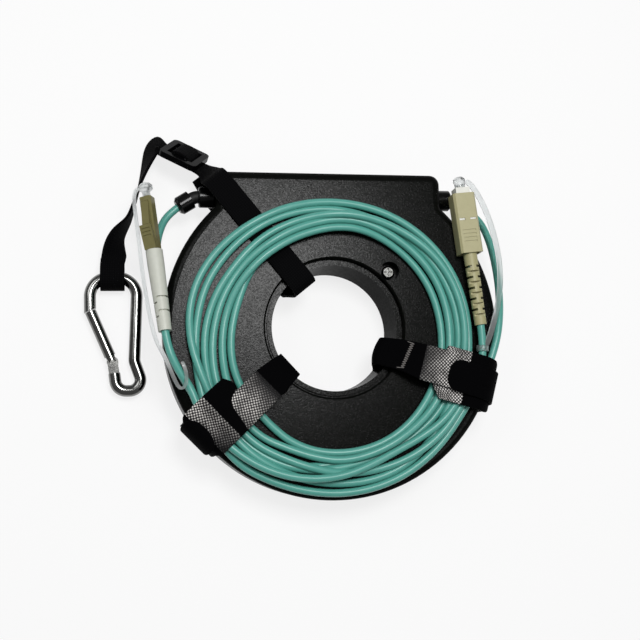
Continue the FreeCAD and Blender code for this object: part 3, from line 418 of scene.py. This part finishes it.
left_tab_rows = [
    (67.9, 11.0, (-11.6, -3.6)), (68.5, 14.5, (-12.6, -2.6)), (68.9, 19.5, (-13.6, -1.6)),
    (68.8, 24.5, (-14.4, -0.8)), (67.9, 28.2, (-14.9, -0.4)), (66.5, 30.4, (-14.9, -0.4)),
    (65.2, 31.3, (-14.4, -1.0)), (64.0, 31.6, (-13.4, -2.4)), (63.2, 31.6, (-11.8, -4.4)),
    (62.8, 31.6, (-9.6, -6.6))]
left_tab = band("left_strap_tab", strap_rungs(LEFT_HEADING, left_tab_rows), TAB_THICK, "ALL")
right_tab_rows = strap_rows(
    [(67.7, 11.0), (68.0, 14.5), (68.0, 19.0), (67.4, 22.8), (66.2, 26.0), (64.6, 28.6), (62.6, 30.3),
     (60.6, 31.2), (58.0, 31.6), (55.0, 32.2), (51.0, HIGHEST), (48.4, HIGHEST)], (-12.8, -0.6))
right_tab_rows += [(46.6, HIGHEST, (-11.6, -1.8)), (45.4, HIGHEST, (-9.2, -4.2))]
right_tab = band("right_strap_tab", strap_rungs(RIGHT_HEADING, right_tab_rows), TAB_THICK, "ALL")
for tape in (left_strap, right_strap, left_tab, right_tab):
    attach(tape, "case")
    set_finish(tape, "strap_black")
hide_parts("left_strap")
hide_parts("right_strap")

# %% [markdown]
# A pale zigzag seam crosses the right tongue where its two layers are sewn. The thread could be a thin
# curve. Here it is a very narrow band that goes from side to side of the seam and lies on the tape, made as
# the straps are.

# %% Seam
STITCHES = 12
SEAM_START, SEAM_END = (29.6, 1.2), (27.9, -9.4)
SEAM_HALF = 1.9
THREAD_WIDTH, THREAD_THICK, THREAD_LIFT = 0.24, 0.25, 0.15
# A place on the tongue as (along, height), and how steeply it climbs there.
TONGUE_PLACE, TONGUE_SLOPE = (28.0, 28.5), 0.4
thread_rungs = []
for i in range(2 * STITCHES + 1):
    share = i / (2 * STITCHES)
    along = SEAM_START[0] + (SEAM_END[0] - SEAM_START[0]) * share + (SEAM_HALF if i % 2 else -SEAM_HALF)
    aside = SEAM_START[1] + (SEAM_END[1] - SEAM_START[1]) * share
    on_tape = TONGUE_PLACE[1] + (along - TONGUE_PLACE[0]) * TONGUE_SLOPE + STRAP_THICK / 2 + THREAD_LIFT
    thread_rungs.append([strap_point(RIGHT_HEADING, along, aside + edge, on_tape)
                         for edge in (-THREAD_WIDTH / 2, THREAD_WIDTH / 2)])
seam = band("right_strap_seam", thread_rungs, THREAD_THICK)
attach(seam, "case")
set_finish(seam, "strap_black")

# %% [markdown]
# ## The lanyard
# A woven band goes round the ring, through a three-bar slide, and twists down to a loop that holds the snap
# hook. Its rungs are given by a middle point and a direction across, because it turns about its own run.

# %% Webbing
WEBBING_WIDTH = 10.0
LOOP_WIDTH = 9.3
WEBBING_THICK = 1.1
WEBBING_SHIFT = -1.0
LOOP_SHIFT = -0.45
SLIDE_MIDDLE = Vector((-56.7, 71.5, 9.8))
HOOK_BOW = Vector((-84.5, 23.0, 3.8))


def across_at(heading, roll):
    """The direction across a band that runs along a heading, with its left edge lifted by a roll angle."""
    turn, lift = math.radians(heading), math.radians(roll)
    return Vector((-math.sin(turn) * math.cos(lift), math.cos(turn) * math.cos(lift), math.sin(lift)))


def rung(middle, across, width):
    """The points of a rung: its middle and half a width each side of it."""
    across = Vector(across).normalized() * (width / 2)
    middle = Vector(middle)
    return [middle - across, middle, middle + across]


ring_turn = math.radians(WEBBING_HEADING)
ring_across = Vector((-math.sin(ring_turn), math.cos(ring_turn), 0))
slide_run = Vector((-0.8613, 0.4775, -0.1736))
slide_across = Vector((-0.4391, -0.528, 0.7267))
slide_out = slide_run.cross(slide_across)

# Down the outside of the ring, under it, up through the hole and out over the face, as (along, height).
round_ring = (
    (75.6, 4.6), (75.8, 2.0), (74.6, 0.75), (72.0, 0.65), (50.0, 0.65), (26.0, 0.65), (23.6, 0.9), (22.9, 2.2),
    (22.4, 6.0), (20.8, 13.0), (19.3, 19.5), (19.3, 22.4), (20.5, 24.1), (23.0, 24.5), (27.0, 24.25),
    (46.0, 24.15), (69.0, 24.15), (72.4, 24.05), (74.4, 23.3), (75.6, 21.6), (76.0, 19.4))
webbing_rungs = [rung((-49.4, 63.7, 9.2), ring_across, WEBBING_WIDTH)]
for along, height in round_ring:
    middle = strap_point(WEBBING_HEADING, along, WEBBING_SHIFT, height)
    webbing_rungs.append(rung(middle, ring_across, WEBBING_WIDTH))
# Between the ring and the slide it lies partly across each.
webbing_rungs.append(rung((-47.3, 62.4, 14.6), ring_across * 0.6 + slide_across * 0.4, WEBBING_WIDTH))
# Under the slide's outer bars and over its middle one, as (along, out).
through_slide = (
    (-10.2, -2.1), (-6.2, -2.1), (-4.6, -1.6), (-3.4, 1.6), (-1.6, 2.1), (1.6, 2.1), (3.4, 1.6), (4.6, -1.6),
    (6.2, -2.1), (10.6, -2.1))
for along, out in through_slide:
    middle = SLIDE_MIDDLE + slide_run * along + slide_out * out
    webbing_rungs.append(rung(middle, slide_across, WEBBING_WIDTH))
# The twist on the way to the hook, as (middle, heading, roll).
twist = (
    ((-66.8, 78.2, 7.4), 176, 42), ((-69.2, 75.4, 6.8), 232, 46), ((-71.0, 69.8, 6.3), 250, 66),
    ((-73.6, 61.6, 6.0), 252, 84), ((-76.8, 51.2, 5.9), 252, 90), ((-78.2, 46.2, 5.9), 244, 93),
    ((-80.2, 43.2, 5.9), 226, 100), ((-82.6, 40.2, 5.8), 232, 114), ((-83.8, 36.8, 5.6), 256, 130),
    ((-84.2, 33.4, 5.4), 266, 146), ((-84.2, 30.6, 5.4), 268, 164))
for middle, heading, roll in twist:
    webbing_rungs.append(rung(middle, across_at(heading, roll), WEBBING_WIDTH))
# Round the hook's bow and back to itself, as (forward, up) from the bow.
round_bow = (
    (5.4, 3.4), (1.2, 4.5), (-2.6, 4.3), (-4.6, 2.4), (-5.0, 0.2), (-4.6, -2.0), (-2.6, -3.2), (5.1, -2.9),
    (7.5, -0.6))
for forward, up in round_bow:
    webbing_rungs.append(rung(HOOK_BOW + Vector((LOOP_SHIFT, forward, up)), (-1, 0, 0), LOOP_WIDTH))
webbing = band("lanyard_band", webbing_rungs, WEBBING_THICK)
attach(webbing, "case")
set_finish(webbing, "webbing_black")
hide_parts("lanyard_webbing")

# %% [markdown]
# ## The cap tethers
# Each dust cap hangs on a thin clear strip, moulded in one with a loop round the lead. A strip is one more
# band. The small loop on one lead is a cylinder with no ends that gets a wall, and on the other the strip
# itself goes round in a long hairpin. When a cap is pulled off, its end of the strip goes with it.

# %% Tethers
SC_TETHER_WIDTH, LC_TETHER_WIDTH = 2.2, 1.4
TETHER_THICK = 0.6
RING_RADIUS = 2.1
RING_SIDES = 24
RING_ROUND = 0.15
RING_PLACE = Vector((57.62, -9.18, 27.29))
RING_AXIS = Vector((-0.67, -9.71, -0.3))
LC_FRONT = Vector((-71.4, 50.4, 22.5))


def tether(name, middles, width):
    """A strip that lies flat along its middles."""
    middles = [Vector(m) for m in middles]
    rungs = []
    for i, middle in enumerate(middles):
        ahead = middles[min(i + 1, len(middles) - 1)] - middles[max(i - 1, 0)]
        rungs.append(rung(middle, ahead.cross(Vector((0, 0, 1))), width))
    strip = band(name, rungs, TETHER_THICK, "ALL")
    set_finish(strip, "clear_plastic")
    return strip


sc_middles = [
    (54.0, 58.0, 27.6), (55.8, 56.8, 27.6), (57.4, 54.8, 27.6), (60.0, 50.6, 27.2), (63.0, 44.0, 26.8),
    (65.6, 34.3, 26.5), (67.0, 24.3, 26.4), (66.3, 14.3, 27.2), (63.8, 5.2, 28.6), (61.0, -2.4, 29.1),
    (59.7, -6.0, 28.6), (58.7, -8.2, 28.3)]
sc_tether = tether("sc_tether", sc_middles, SC_TETHER_WIDTH)
bpy.ops.object.select_all(action="DESELECT")
bpy.ops.mesh.primitive_cylinder_add(
    vertices=RING_SIDES, radius=RING_RADIUS * MM, depth=SC_TETHER_WIDTH * MM, end_fill_type="NOTHING")
ring = bpy.context.object
ring_turned = Vector((0, 0, 1)).rotation_difference(RING_AXIS).to_matrix().to_4x4()
ring.data.transform(Matrix.Translation(RING_PLACE * MM) @ ring_turned)
wall = ring.modifiers.new("wall", "SOLIDIFY")
wall.thickness = TETHER_THICK * MM
wall.offset = 0
edges = ring.modifiers.new("soft edges", "BEVEL")
edges.width = RING_ROUND * MM
edges.segments = EDGE_SEGMENTS
apply_modifiers(ring)
sc_tether.select_set(True)
bpy.context.view_layer.objects.active = sc_tether
bpy.ops.object.join()
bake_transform(sc_tether)
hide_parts("sc_cap_tether")

lc_forward = Vector((-0.119, 0.9836, -0.1357))
lc_right = Vector((0.9928, 0.1201, 0))
lc_up = lc_right.cross(lc_forward)
beside_plug = [LC_FRONT + lc_right * x + lc_forward * y + lc_up * z for x, y, z in (
    (-2.6, 4.2, 0), (-3.9, 3.4, 0), (-5.0, 0.8, 0), (-5.1, -8, -0.4), (-5.1, -18, -0.4), (-5.4, -29, -0.2),
    (-5.2, -38, 0), (-4.8, -47, 0.2), (-4.0, -55, 0.2))]
hairpin = [
    (-67.3, -7.4, 30.7), (-65.6, -10.7, 31.2), (-64.1, -14.1, 31.5), (-62.7, -17.8, 31.3),
    (-61.3, -21.0, 30.9), (-59.9, -23.2, 30.7), (-58.3, -22.9, 30.7), (-57.4, -20.6, 31.0),
    (-57.5, -17.6, 31.3), (-58.2, -15.2, 31.5), (-59.1, -13.1, 31.2)]
lc_tether = tether("lc_tether", beside_plug + hairpin, LC_TETHER_WIDTH)
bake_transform(lc_tether)
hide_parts("lc_cap_tether")

# %% [markdown]
# ## Pale inlays in the SC grip
# Two short slots in the top of the beige grip are filled with white plastic. An inlay is a cube that is
# scaled to its slot, gets round edges from a Bevel, and is turned and moved into place on the grip.

# %% Inlays
INLAY_SIZE = Vector((2.3, 0.8, 0.75))
INLAY_ASIDE, INLAY_BACK, INLAY_UP = 2.25, 10.55, 3.27
INLAY_ROUND, INLAY_SEGMENTS = 0.2, 3
SC_FRONT = Vector((51.9, 52.3, 27.4))
sc_forward = Vector((-0.1028, 0.9947, 0))
sc_right = Vector((0.9947, 0.1028, 0))
for side in (-1, 1):
    bpy.ops.object.select_all(action="DESELECT")
    bpy.ops.mesh.primitive_cube_add(size=MM)
    inlay = bpy.context.object
    inlay.name = inlay.data.name = "sc_inlay_left" if side < 0 else "sc_inlay_right"
    bpy.ops.object.mode_set(mode="EDIT")
    bpy.ops.transform.resize(value=INLAY_SIZE)
    bpy.ops.object.mode_set(mode="OBJECT")
    edges = inlay.modifiers.new("soft edges", "BEVEL")
    edges.width = INLAY_ROUND * MM
    edges.segments = INLAY_SEGMENTS
    apply_modifiers(inlay)
    middle = SC_FRONT + sc_right * (side * INLAY_ASIDE) - sc_forward * INLAY_BACK + Vector((0, 0, INLAY_UP))
    turned = Matrix((sc_right, sc_forward, (0, 0, 1))).transposed().to_4x4()
    inlay.data.transform(Matrix.Translation(middle * MM) @ turned)
    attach(inlay, "sc_grip")
    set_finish(inlay, "plastic_white")
    print(inlay.name, "at", [round(c, 1) for c in middle])

# %% [markdown]
# ## The ferrule springs
# Behind each ferrule a coil spring pushes it out of the plug. When the ferrule is pushed back, its spring
# gets shorter. The solid is the spring at rest. Here each spring's points are measured along its plug, and it
# gets a mesh of its own.

# %% Springs
for name, forward in (("sc", sc_forward), ("lc", lc_forward)):
    spring = nodes[name + "_spring"]
    reach = [vertex.co.dot(forward) for vertex in spring.data.vertices]
    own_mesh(spring)

# %% [markdown]
# ## The solids the leads stand for
# For each lead curve, the table gives its plug, its tether, where it leaves the case and the solids of the
# model that the curve stands for. Only the last are used here: those solids are hidden.

for lead, plug, strip, exit_point, stands_for in (
        (left_lead, "sc_", sc_tether, (-0.05619, 0.05156, 0.0125),
         ("left_lead_tail", "sc_lead_end", "lead_coil")),
        (right_lead, "lc_", lc_tether, (0.05619, 0.05156, 0.0125),
         ("right_lead_tail", "lc_lead_end"))):
    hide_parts(*stands_for)

# %% [markdown]
# ## Finishes
# A finish starts from what the thing is made of. One function turns a colour as read from a picture into
# the linear colour that a shader takes, one adds a node, and one starts a material. Patterns are set in
# millimetres and read Object coordinates, or the band's own UV map where they follow a weave.

# %% Material helpers
GRAIN_DETAIL = 2.0


def linear(colour):
    """An sRGB hex colour as linear red, green, blue and alpha."""
    parts = [int(colour[i:i + 2], 16) / 255 for i in (1, 3, 5)]
    return [c / 12.92 if c <= 0.04045 else ((c + 0.055) / 1.055) ** 2.4 for c in parts] + [1.0]


def node(tree, kind, sockets, **settings):
    """A new node with its settings; a socket takes a value, or a link from another node's output."""
    new = tree.nodes.new("ShaderNode" + kind)
    for name, value in settings.items():
        setattr(new, name, value)
    for name, value in sockets.items():
        if isinstance(value, bpy.types.NodeSocket):
            tree.links.new(value, new.inputs[name])
        else:
            new.inputs[name].default_value = value
    return new


def surface(name, colour, roughness, **sockets):
    """A new material, its shader with constant values on its own sockets, and its node tree."""
    material = bpy.data.materials.new(name)
    material.use_nodes = True
    shader = material.node_tree.nodes["Principled BSDF"]
    shader.inputs["Base Color"].default_value = linear(colour)
    shader.inputs["Roughness"].default_value = roughness
    for socket, value in sockets.items():
        shader.inputs[socket.replace("_", " ")].default_value = value
    return material, shader, material.node_tree


def grain(tree, shader, size, dark, light, height, strength):
    """Colour that drifts between two shades and a bump, from one noise whose blotches are about size mm."""
    where = node(tree, "TexCoord", {}).outputs["Object"]
    noise = node(tree, "TexNoise", {"Vector": where, "Scale": 1 / (size * MM),
                                    "Detail": GRAIN_DETAIL}).outputs["Fac"]
    tint = node(tree, "Mix", {0: noise, 6: linear(dark), 7: linear(light)}, data_type="RGBA")
    tree.links.new(tint.outputs[2], shader.inputs["Base Color"])
    bump = node(tree, "Bump", {"Height": noise, "Strength": strength, "Distance": height * MM})
    tree.links.new(bump.outputs["Normal"], shader.inputs["Normal"])


# %% [markdown]
# ### Moulded plastics, rubber and metal
# The case is black ABS from a spark-eroded mould, so its faces have a fine grain that breaks the light into
# a grey sparkle, while the glands are smooth and show sharp glints, and the slide is a deeper black. The
# plugs are moulded in the colours of their kind. The hook is zinc alloy with a bright plating, so it shows
# what is round it.

# %% Moulded and metal finishes
finishes = {}


def moulded(slot_name, name, dark, light, roughness, size, height, strength, **sockets):
    """A finish with grain, kept under the record's slot name."""
    material, shader, tree = surface(name, dark, roughness, **sockets)
    grain(tree, shader, size, dark, light, height, strength)
    finishes[slot_name] = material


# Near-black, with a grain drawn twice as coarse as it is so that it shows. Each of its tiny facets shines more
# or less than the next, so the eye sees a grey sheen made of specks.
SPECK_SIZE = 0.45
SPECK_DULL, SPECK_BRIGHT = 0.045, 0.125
# How far a surface looks up where it counts as a wall and as a face, and a wall's share of the shine, kept low
# as painted shade.
WALL_UP, FACE_UP = 0.7, 0.98
WALL_SHINE = 0.06
moulded("abs_black", "spark-grained black ABS", "#060706", "#0D0E0C", 0.22, 0.6, 0.05, 0.8)
tree = finishes["abs_black"].node_tree
where = node(tree, "TexCoord", {}).outputs["Object"]
facets = node(tree, "TexVoronoi", {"Vector": where, "Scale": 1 / (SPECK_SIZE * MM)}).outputs["Color"]
facet = node(tree, "SeparateColor", {"Color": facets}).outputs["Red"]
shine = node(tree, "MapRange", {"Value": facet, "To Min": SPECK_DULL,
                                "To Max": SPECK_BRIGHT}).outputs["Result"]
# Painted shade: the walls and rounded rims face sideways and keep only a small share of the shine,
# so they stay nearly black.
normal = node(tree, "TexCoord", {}).outputs["Normal"]
faces_up = node(tree, "SeparateXYZ", {"Vector": normal}).outputs["Z"]
painted_wall_shade = node(tree, "MapRange", {"Value": faces_up, "From Min": WALL_UP, "From Max": FACE_UP,
                                 "To Min": WALL_SHINE}).outputs["Result"]
shine = node(tree, "Math", {0: shine, 1: painted_wall_shade}, operation="MULTIPLY").outputs["Value"]
tree.links.new(shine, tree.nodes["Principled BSDF"].inputs["Specular IOR Level"])
# Smooth blacks: deep, with small white glints on the edges of the nylon. The acetal reflects less, and the
# rubber is duller.
moulded("nylon_black", "smooth black nylon", "#050606", "#090A0A", 0.22, 3.0, 0.02, 0.15,
        Specular_IOR_Level=0.22)
moulded("acetal_black", "glossy black acetal", "#040405", "#080809", 0.2, 3.0, 0.08, 0.5,
        Specular_IOR_Level=0.05)
moulded("rubber_black", "soft black rubber", "#090A0A", "#101111", 0.55, 1.0, 0.03, 0.3,
        Specular_IOR_Level=0.3)
# A slightly wavy jacket: each strand shows one soft light line along its top.
moulded("jacket_aqua", "extruded aqua jacket", "#4E998D", "#5AA497", 0.34, 5.0, 0.05, 0.12)
# Dyed plastics and elastomers: plain colour, a soft shine, and very slight flow marks.
moulded("plastic_beige", "moulded beige plastic", "#A29D76", "#AEA982", 0.4, 2.0, 0.03, 0.2)
moulded("boot_beige", "soft beige elastomer", "#9E996F", "#AAA57C", 0.5, 1.5, 0.03, 0.25)
moulded("plastic_white", "moulded white plastic", "#D8D8D0", "#E4E4DC", 0.4, 2.0, 0.02, 0.15)
moulded("plastic_olive", "moulded olive plastic", "#6A653F", "#7A754D", 0.2, 2.0, 0.04, 0.3)
moulded("boot_white", "soft white elastomer", "#BEC0B5", "#C9CBC1", 0.45, 2.0, 0.03, 0.2)
# Fine streaks of many fibres, and sleeves that look like frosted film.
moulded("coated_fibre", "coated glass fibre", "#A9C4BC", "#C2D8D1", 0.3, 0.6, 0.05, 0.5)
moulded("shrink_sleeve", "heat-shrunk sleeve", "#C9CCCC", "#DADCDC", 0.25, 3.0, 0.02, 0.1)
moulded("zirconia", "polished zirconia", "#EDECE6", "#F6F5F0", 0.12, 3.0, 0.0, 0.0)
# Metals: the colour is the mirror's own tint, and slight ripples break the reflection.
moulded("screw_steel", "plated steel", "#4A4A48", "#727270", 0.25, 0.8, 0.05, 0.6, Metallic=1.0)
moulded("spring_steel", "drawn spring steel", "#A3A3A2", "#BDBDBC", 0.25, 0.4, 0.01, 0.2, Metallic=1.0)
moulded("nickel_brass", "nickel-plated brass", "#B9B19B", "#CFC9B6", 0.25, 0.6, 0.01, 0.2, Metallic=1.0)
moulded("zinc_bright", "bright-plated zinc", "#727270", "#8C8C8A", 0.16, 2.5, 0.03, 0.2, Metallic=1.0)
# Clear strip: what lies behind it shows through, a little milky.
moulded("clear_plastic", "clear flexible plastic", "#E2E5E5", "#EDF0F0", 0.3, 3.0, 0.02, 0.06,
        Transmission_Weight=0.92, IOR=1.45)

# %% [markdown]
# ### Tape and webbing
# The loop side of the tape is a dull black fuzz. Its hook side is a field of tiny nylon hooks in rows a
# little under a millimetre apart, and where they lean the right way each catches the light as a pale dot.
# These dots are painted highlights in the tape's colour.
# The webbing is a flat weave of black yarn.

# %% Woven finishes
# Lengths are in millimetres. The dot's rim and middle are shares of the pitch.
HOOK_PITCH = 0.95
HOOK_SLANT = 32
HOOK_JITTER = 0.12
DOT_RIM, DOT_MIDDLE = 0.46, 0.22
HOOK_HEIGHT, HOOK_BUMP = 0.3, 0.8
# Patches of painted highlight, where the hooks lean away or the right way, and the least share of light that
# they leave.
PATCH_SIZE = 7.0
LEAN_AWAY, LEAN_RIGHT, LEAN_LEAST = 0.36, 0.6, 0.45
# Where the painted highlights on the dots fade out and where they are full, out from the origin and up from
# the lower end: a painted falloff of the light.
REACH_LOST, REACH_CLEAR = 47.5, 55.0
BESIDE_LOST, BESIDE_CLEAR = -45.0, -29.0
LOST_SHARE = 0.02
YARN_PITCH = 0.9
YARN_HEIGHT, YARN_BUMP = 0.2, 0.5
# The wave texture at a scale of 1 repeats at this distance.
WAVE_LENGTH = 0.314

# Loops: they swallow the light, so the tape is the darkest thing in the picture.
loops, shader, tree = surface("loop side of the tape", "#030304", 0.9, Specular_IOR_Level=0.03)
grain(tree, shader, 0.5, "#020203", "#060607", 0.15, 0.7)

# Hooks: painted highlights, pale dots in slanted rows put into the base colour, bright on the outer parts
# and fading out towards the hole and the lower end as a painted falloff of the light.
hooks, shader, tree = surface("hook side of the tape", "#08080A", 0.5, Specular_IOR_Level=0.2)
where = node(tree, "TexCoord", {}).outputs["UV"]
slant = (0, 0, math.radians(HOOK_SLANT))
lattice = node(tree, "Mapping", {"Vector": where, "Rotation": slant}).outputs["Vector"]
cells = node(tree, "TexVoronoi", {"Vector": lattice, "Scale": 1 / (HOOK_PITCH * MM),
                                  "Randomness": HOOK_JITTER}).outputs["Distance"]
dot = node(tree, "MapRange", {"Value": cells, "From Min": DOT_RIM, "From Max": DOT_MIDDLE}).outputs["Result"]
patch = node(tree, "TexNoise", {"Vector": where, "Scale": 1 / (PATCH_SIZE * MM), "Detail": 1.0}).outputs["Fac"]
lean = node(tree, "MapRange", {"Value": patch, "From Min": LEAN_AWAY, "From Max": LEAN_RIGHT,
                               "To Min": LEAN_LEAST}).outputs["Result"]
painted_glint = node(tree, "Math", {0: dot, 1: lean}, operation="MULTIPLY").outputs["Value"]
place = node(tree, "TexCoord", {}).outputs["Object"]
reach = node(tree, "VectorMath", {0: place}, operation="LENGTH").outputs["Value"]
beside = node(tree, "SeparateXYZ", {"Vector": place}).outputs["Y"]
for value, lost, clear in ((reach, REACH_LOST, REACH_CLEAR), (beside, BESIDE_LOST, BESIDE_CLEAR)):
    painted_falloff = node(tree, "MapRange", {"Value": value, "From Min": lost * MM, "From Max": clear * MM,
                                   "To Min": LOST_SHARE}).outputs["Result"]
    painted_glint = node(tree, "Math", {0: painted_glint, 1: painted_falloff}, operation="MULTIPLY").outputs["Value"]
# The painted highlights go into the base colour: near black off the dots, near white on a full glint.
tint = node(tree, "Mix", {0: painted_glint, 6: linear("#09090A"), 7: linear("#F4F0EC")}, data_type="RGBA")
tree.links.new(tint.outputs[2], shader.inputs["Base Color"])
bump = node(tree, "Bump", {"Height": dot, "Strength": HOOK_BUMP, "Distance": HOOK_HEIGHT * MM})
tree.links.new(bump.outputs["Normal"], shader.inputs["Normal"])

# Weave: crossing yarns give faint ribs both ways.
weave, shader, tree = surface("black woven webbing", "#030304", 0.85, Specular_IOR_Level=0.06)
where = node(tree, "TexCoord", {}).outputs["UV"]
ribs = {"Vector": where, "Scale": WAVE_LENGTH / (YARN_PITCH * MM), "Distortion": 0.4}
warp, weft = [node(tree, "TexWave", ribs, bands_direction=way).outputs["Fac"] for way in ("X", "Y")]
yarn = node(tree, "Math", {0: warp, 1: weft}, operation="MULTIPLY").outputs["Value"]
tint = node(tree, "Mix", {0: yarn, 6: linear("#020203"), 7: linear("#0A0A0B")}, data_type="RGBA")
tree.links.new(tint.outputs[2], shader.inputs["Base Color"])
bump = node(tree, "Bump", {"Height": yarn, "Strength": YARN_BUMP, "Distance": YARN_HEIGHT * MM})
tree.links.new(bump.outputs["Normal"], shader.inputs["Normal"])
finishes["strap_black"], finishes["webbing_black"] = loops, weave

# Thread: a pale grey twisted yarn, so the zigzag stands out on the black.
thread, shader, tree = surface("grey sewing thread", "#6A6764", 0.7)
grain(tree, shader, 0.3, "#55524F", "#7E7A77", 0.05, 0.5)

# %% [markdown]
# Each piece gets the finish of its slot. A strap shows its hook side only in places, so there its faces get
# the hook finish as a second material. That keeps a strap in one piece, where two strips sewn together
# would also do.

# %% Give every piece its finish
# The hooks show on faces that look up, over the coil, along one stretch of the tongue and one of the body.
HOOKS_LOOK_UP = 0.3
HOOKS_ABOVE = 27.0
hook_zones = {"left_strap_tape": (LEFT_HEADING, (34.8, 54.0), (55.8, 64.5)),
              "right_strap_tape": (RIGHT_HEADING, (35.0, 52.0), (38.0, 53.4))}
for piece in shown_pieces():
    slot_name = piece.get("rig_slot") or (piece.data.materials[0].name if piece.data.materials else "")
    finish = finishes[slot_name.split(".")[0]]
    piece.data.materials.clear()
    piece.data.materials.append(finish)
seam.data.materials[0] = thread
for name, (heading, tongue, body) in hook_zones.items():
    tape = bpy.data.objects[name]
    tape.data.materials.append(hooks)
    turn = math.radians(heading)
    runs = tape.data.uv_layers.active.data
    half = max(corner.uv.y for corner in runs) / 2
    for face in tape.data.polygons:
        along = (face.center.x * math.cos(turn) + face.center.y * math.sin(turn)) / MM
        low, high = tongue if runs[face.loop_start].uv.y < half else body
        if face.normal.z > HOOKS_LOOK_UP and face.center.z > HOOKS_ABOVE * MM and low < along < high:
            face.material_index = 1
print("finishes", len(finishes))

# %% [markdown]
# ## Floor and light
# The object was photographed on white from above. A pale floor keeps a soft shadow, and is lifted to white
# for rays that come from the camera, a metal or a clear plastic. One soft lamp over the upper part gives
# the sheen on the case, two weak ones fill in from the sides, and the sky is dim so that black edges stay
# black.

# %% Floor, lamps and sky
SKY = 0.18
FLOOR_SIZE, FLOOR_DROP, FLOOR_LIFT = 6, 0.0002, 0.8
LAMP_AIM = Vector((0, 0, 0.02))
bpy.ops.object.select_all(action="DESELECT")
bpy.ops.mesh.primitive_plane_add(size=FLOOR_SIZE, location=(0, 0, -FLOOR_DROP))
floor = bpy.context.object
floor.name = "floor"
paper, shader, tree = surface("white paper", "#F2F2F2", 0.9)
rays = node(tree, "LightPath", {})
seen = node(tree, "Math", {0: rays.outputs["Is Camera Ray"], 1: rays.outputs["Is Glossy Ray"]},
            operation="MAXIMUM")
seen = node(tree, "Math", {0: seen.outputs["Value"], 1: rays.outputs["Is Transmission Ray"]},
            operation="MAXIMUM")
lifted = node(tree, "Math", {0: seen.outputs["Value"], 1: FLOOR_LIFT}, operation="MULTIPLY")
white = node(tree, "Emission", {"Color": (1, 1, 1, 1), "Strength": 1.0})
both = node(tree, "MixShader", {0: lifted.outputs["Value"], 1: shader.outputs["BSDF"],
                                2: white.outputs["Emission"]})
tree.links.new(both.outputs["Shader"], tree.nodes["Material Output"].inputs["Surface"])
floor.data.materials.append(paper)

for name, place, size, power in (
        ("key", (0.028, 0.138, 0.62), 0.18, 2.5), ("left fill", (-0.4, 0.25, 0.6), 0.3, 0.9),
        ("right fill", (0.45, -0.2, 0.6), 0.3, 0.5)):
    lamp_data = bpy.data.lights.new(name, "AREA")
    lamp_data.size = size
    lamp_data.energy = power
    lamp = bpy.data.objects.new(name, lamp_data)
    bpy.context.scene.collection.objects.link(lamp)
    lamp.location = place
    lamp.rotation_euler = (LAMP_AIM - Vector(place)).to_track_quat("-Z", "Y").to_euler()

sky = bpy.data.worlds.new("studio")
bpy.context.scene.world = sky
sky.use_nodes = True
tree = sky.node_tree
seen = node(tree, "LightPath", {}).outputs["Is Camera Ray"]
level = node(tree, "MapRange", {"Value": seen, "To Min": SKY, "To Max": 1.0}).outputs["Result"]
tree.links.new(level, tree.nodes["Background"].inputs["Strength"])
tree.nodes["Background"].inputs["Color"].default_value = (1, 1, 1, 1)
bpy.context.scene.view_settings.view_transform = "Standard"
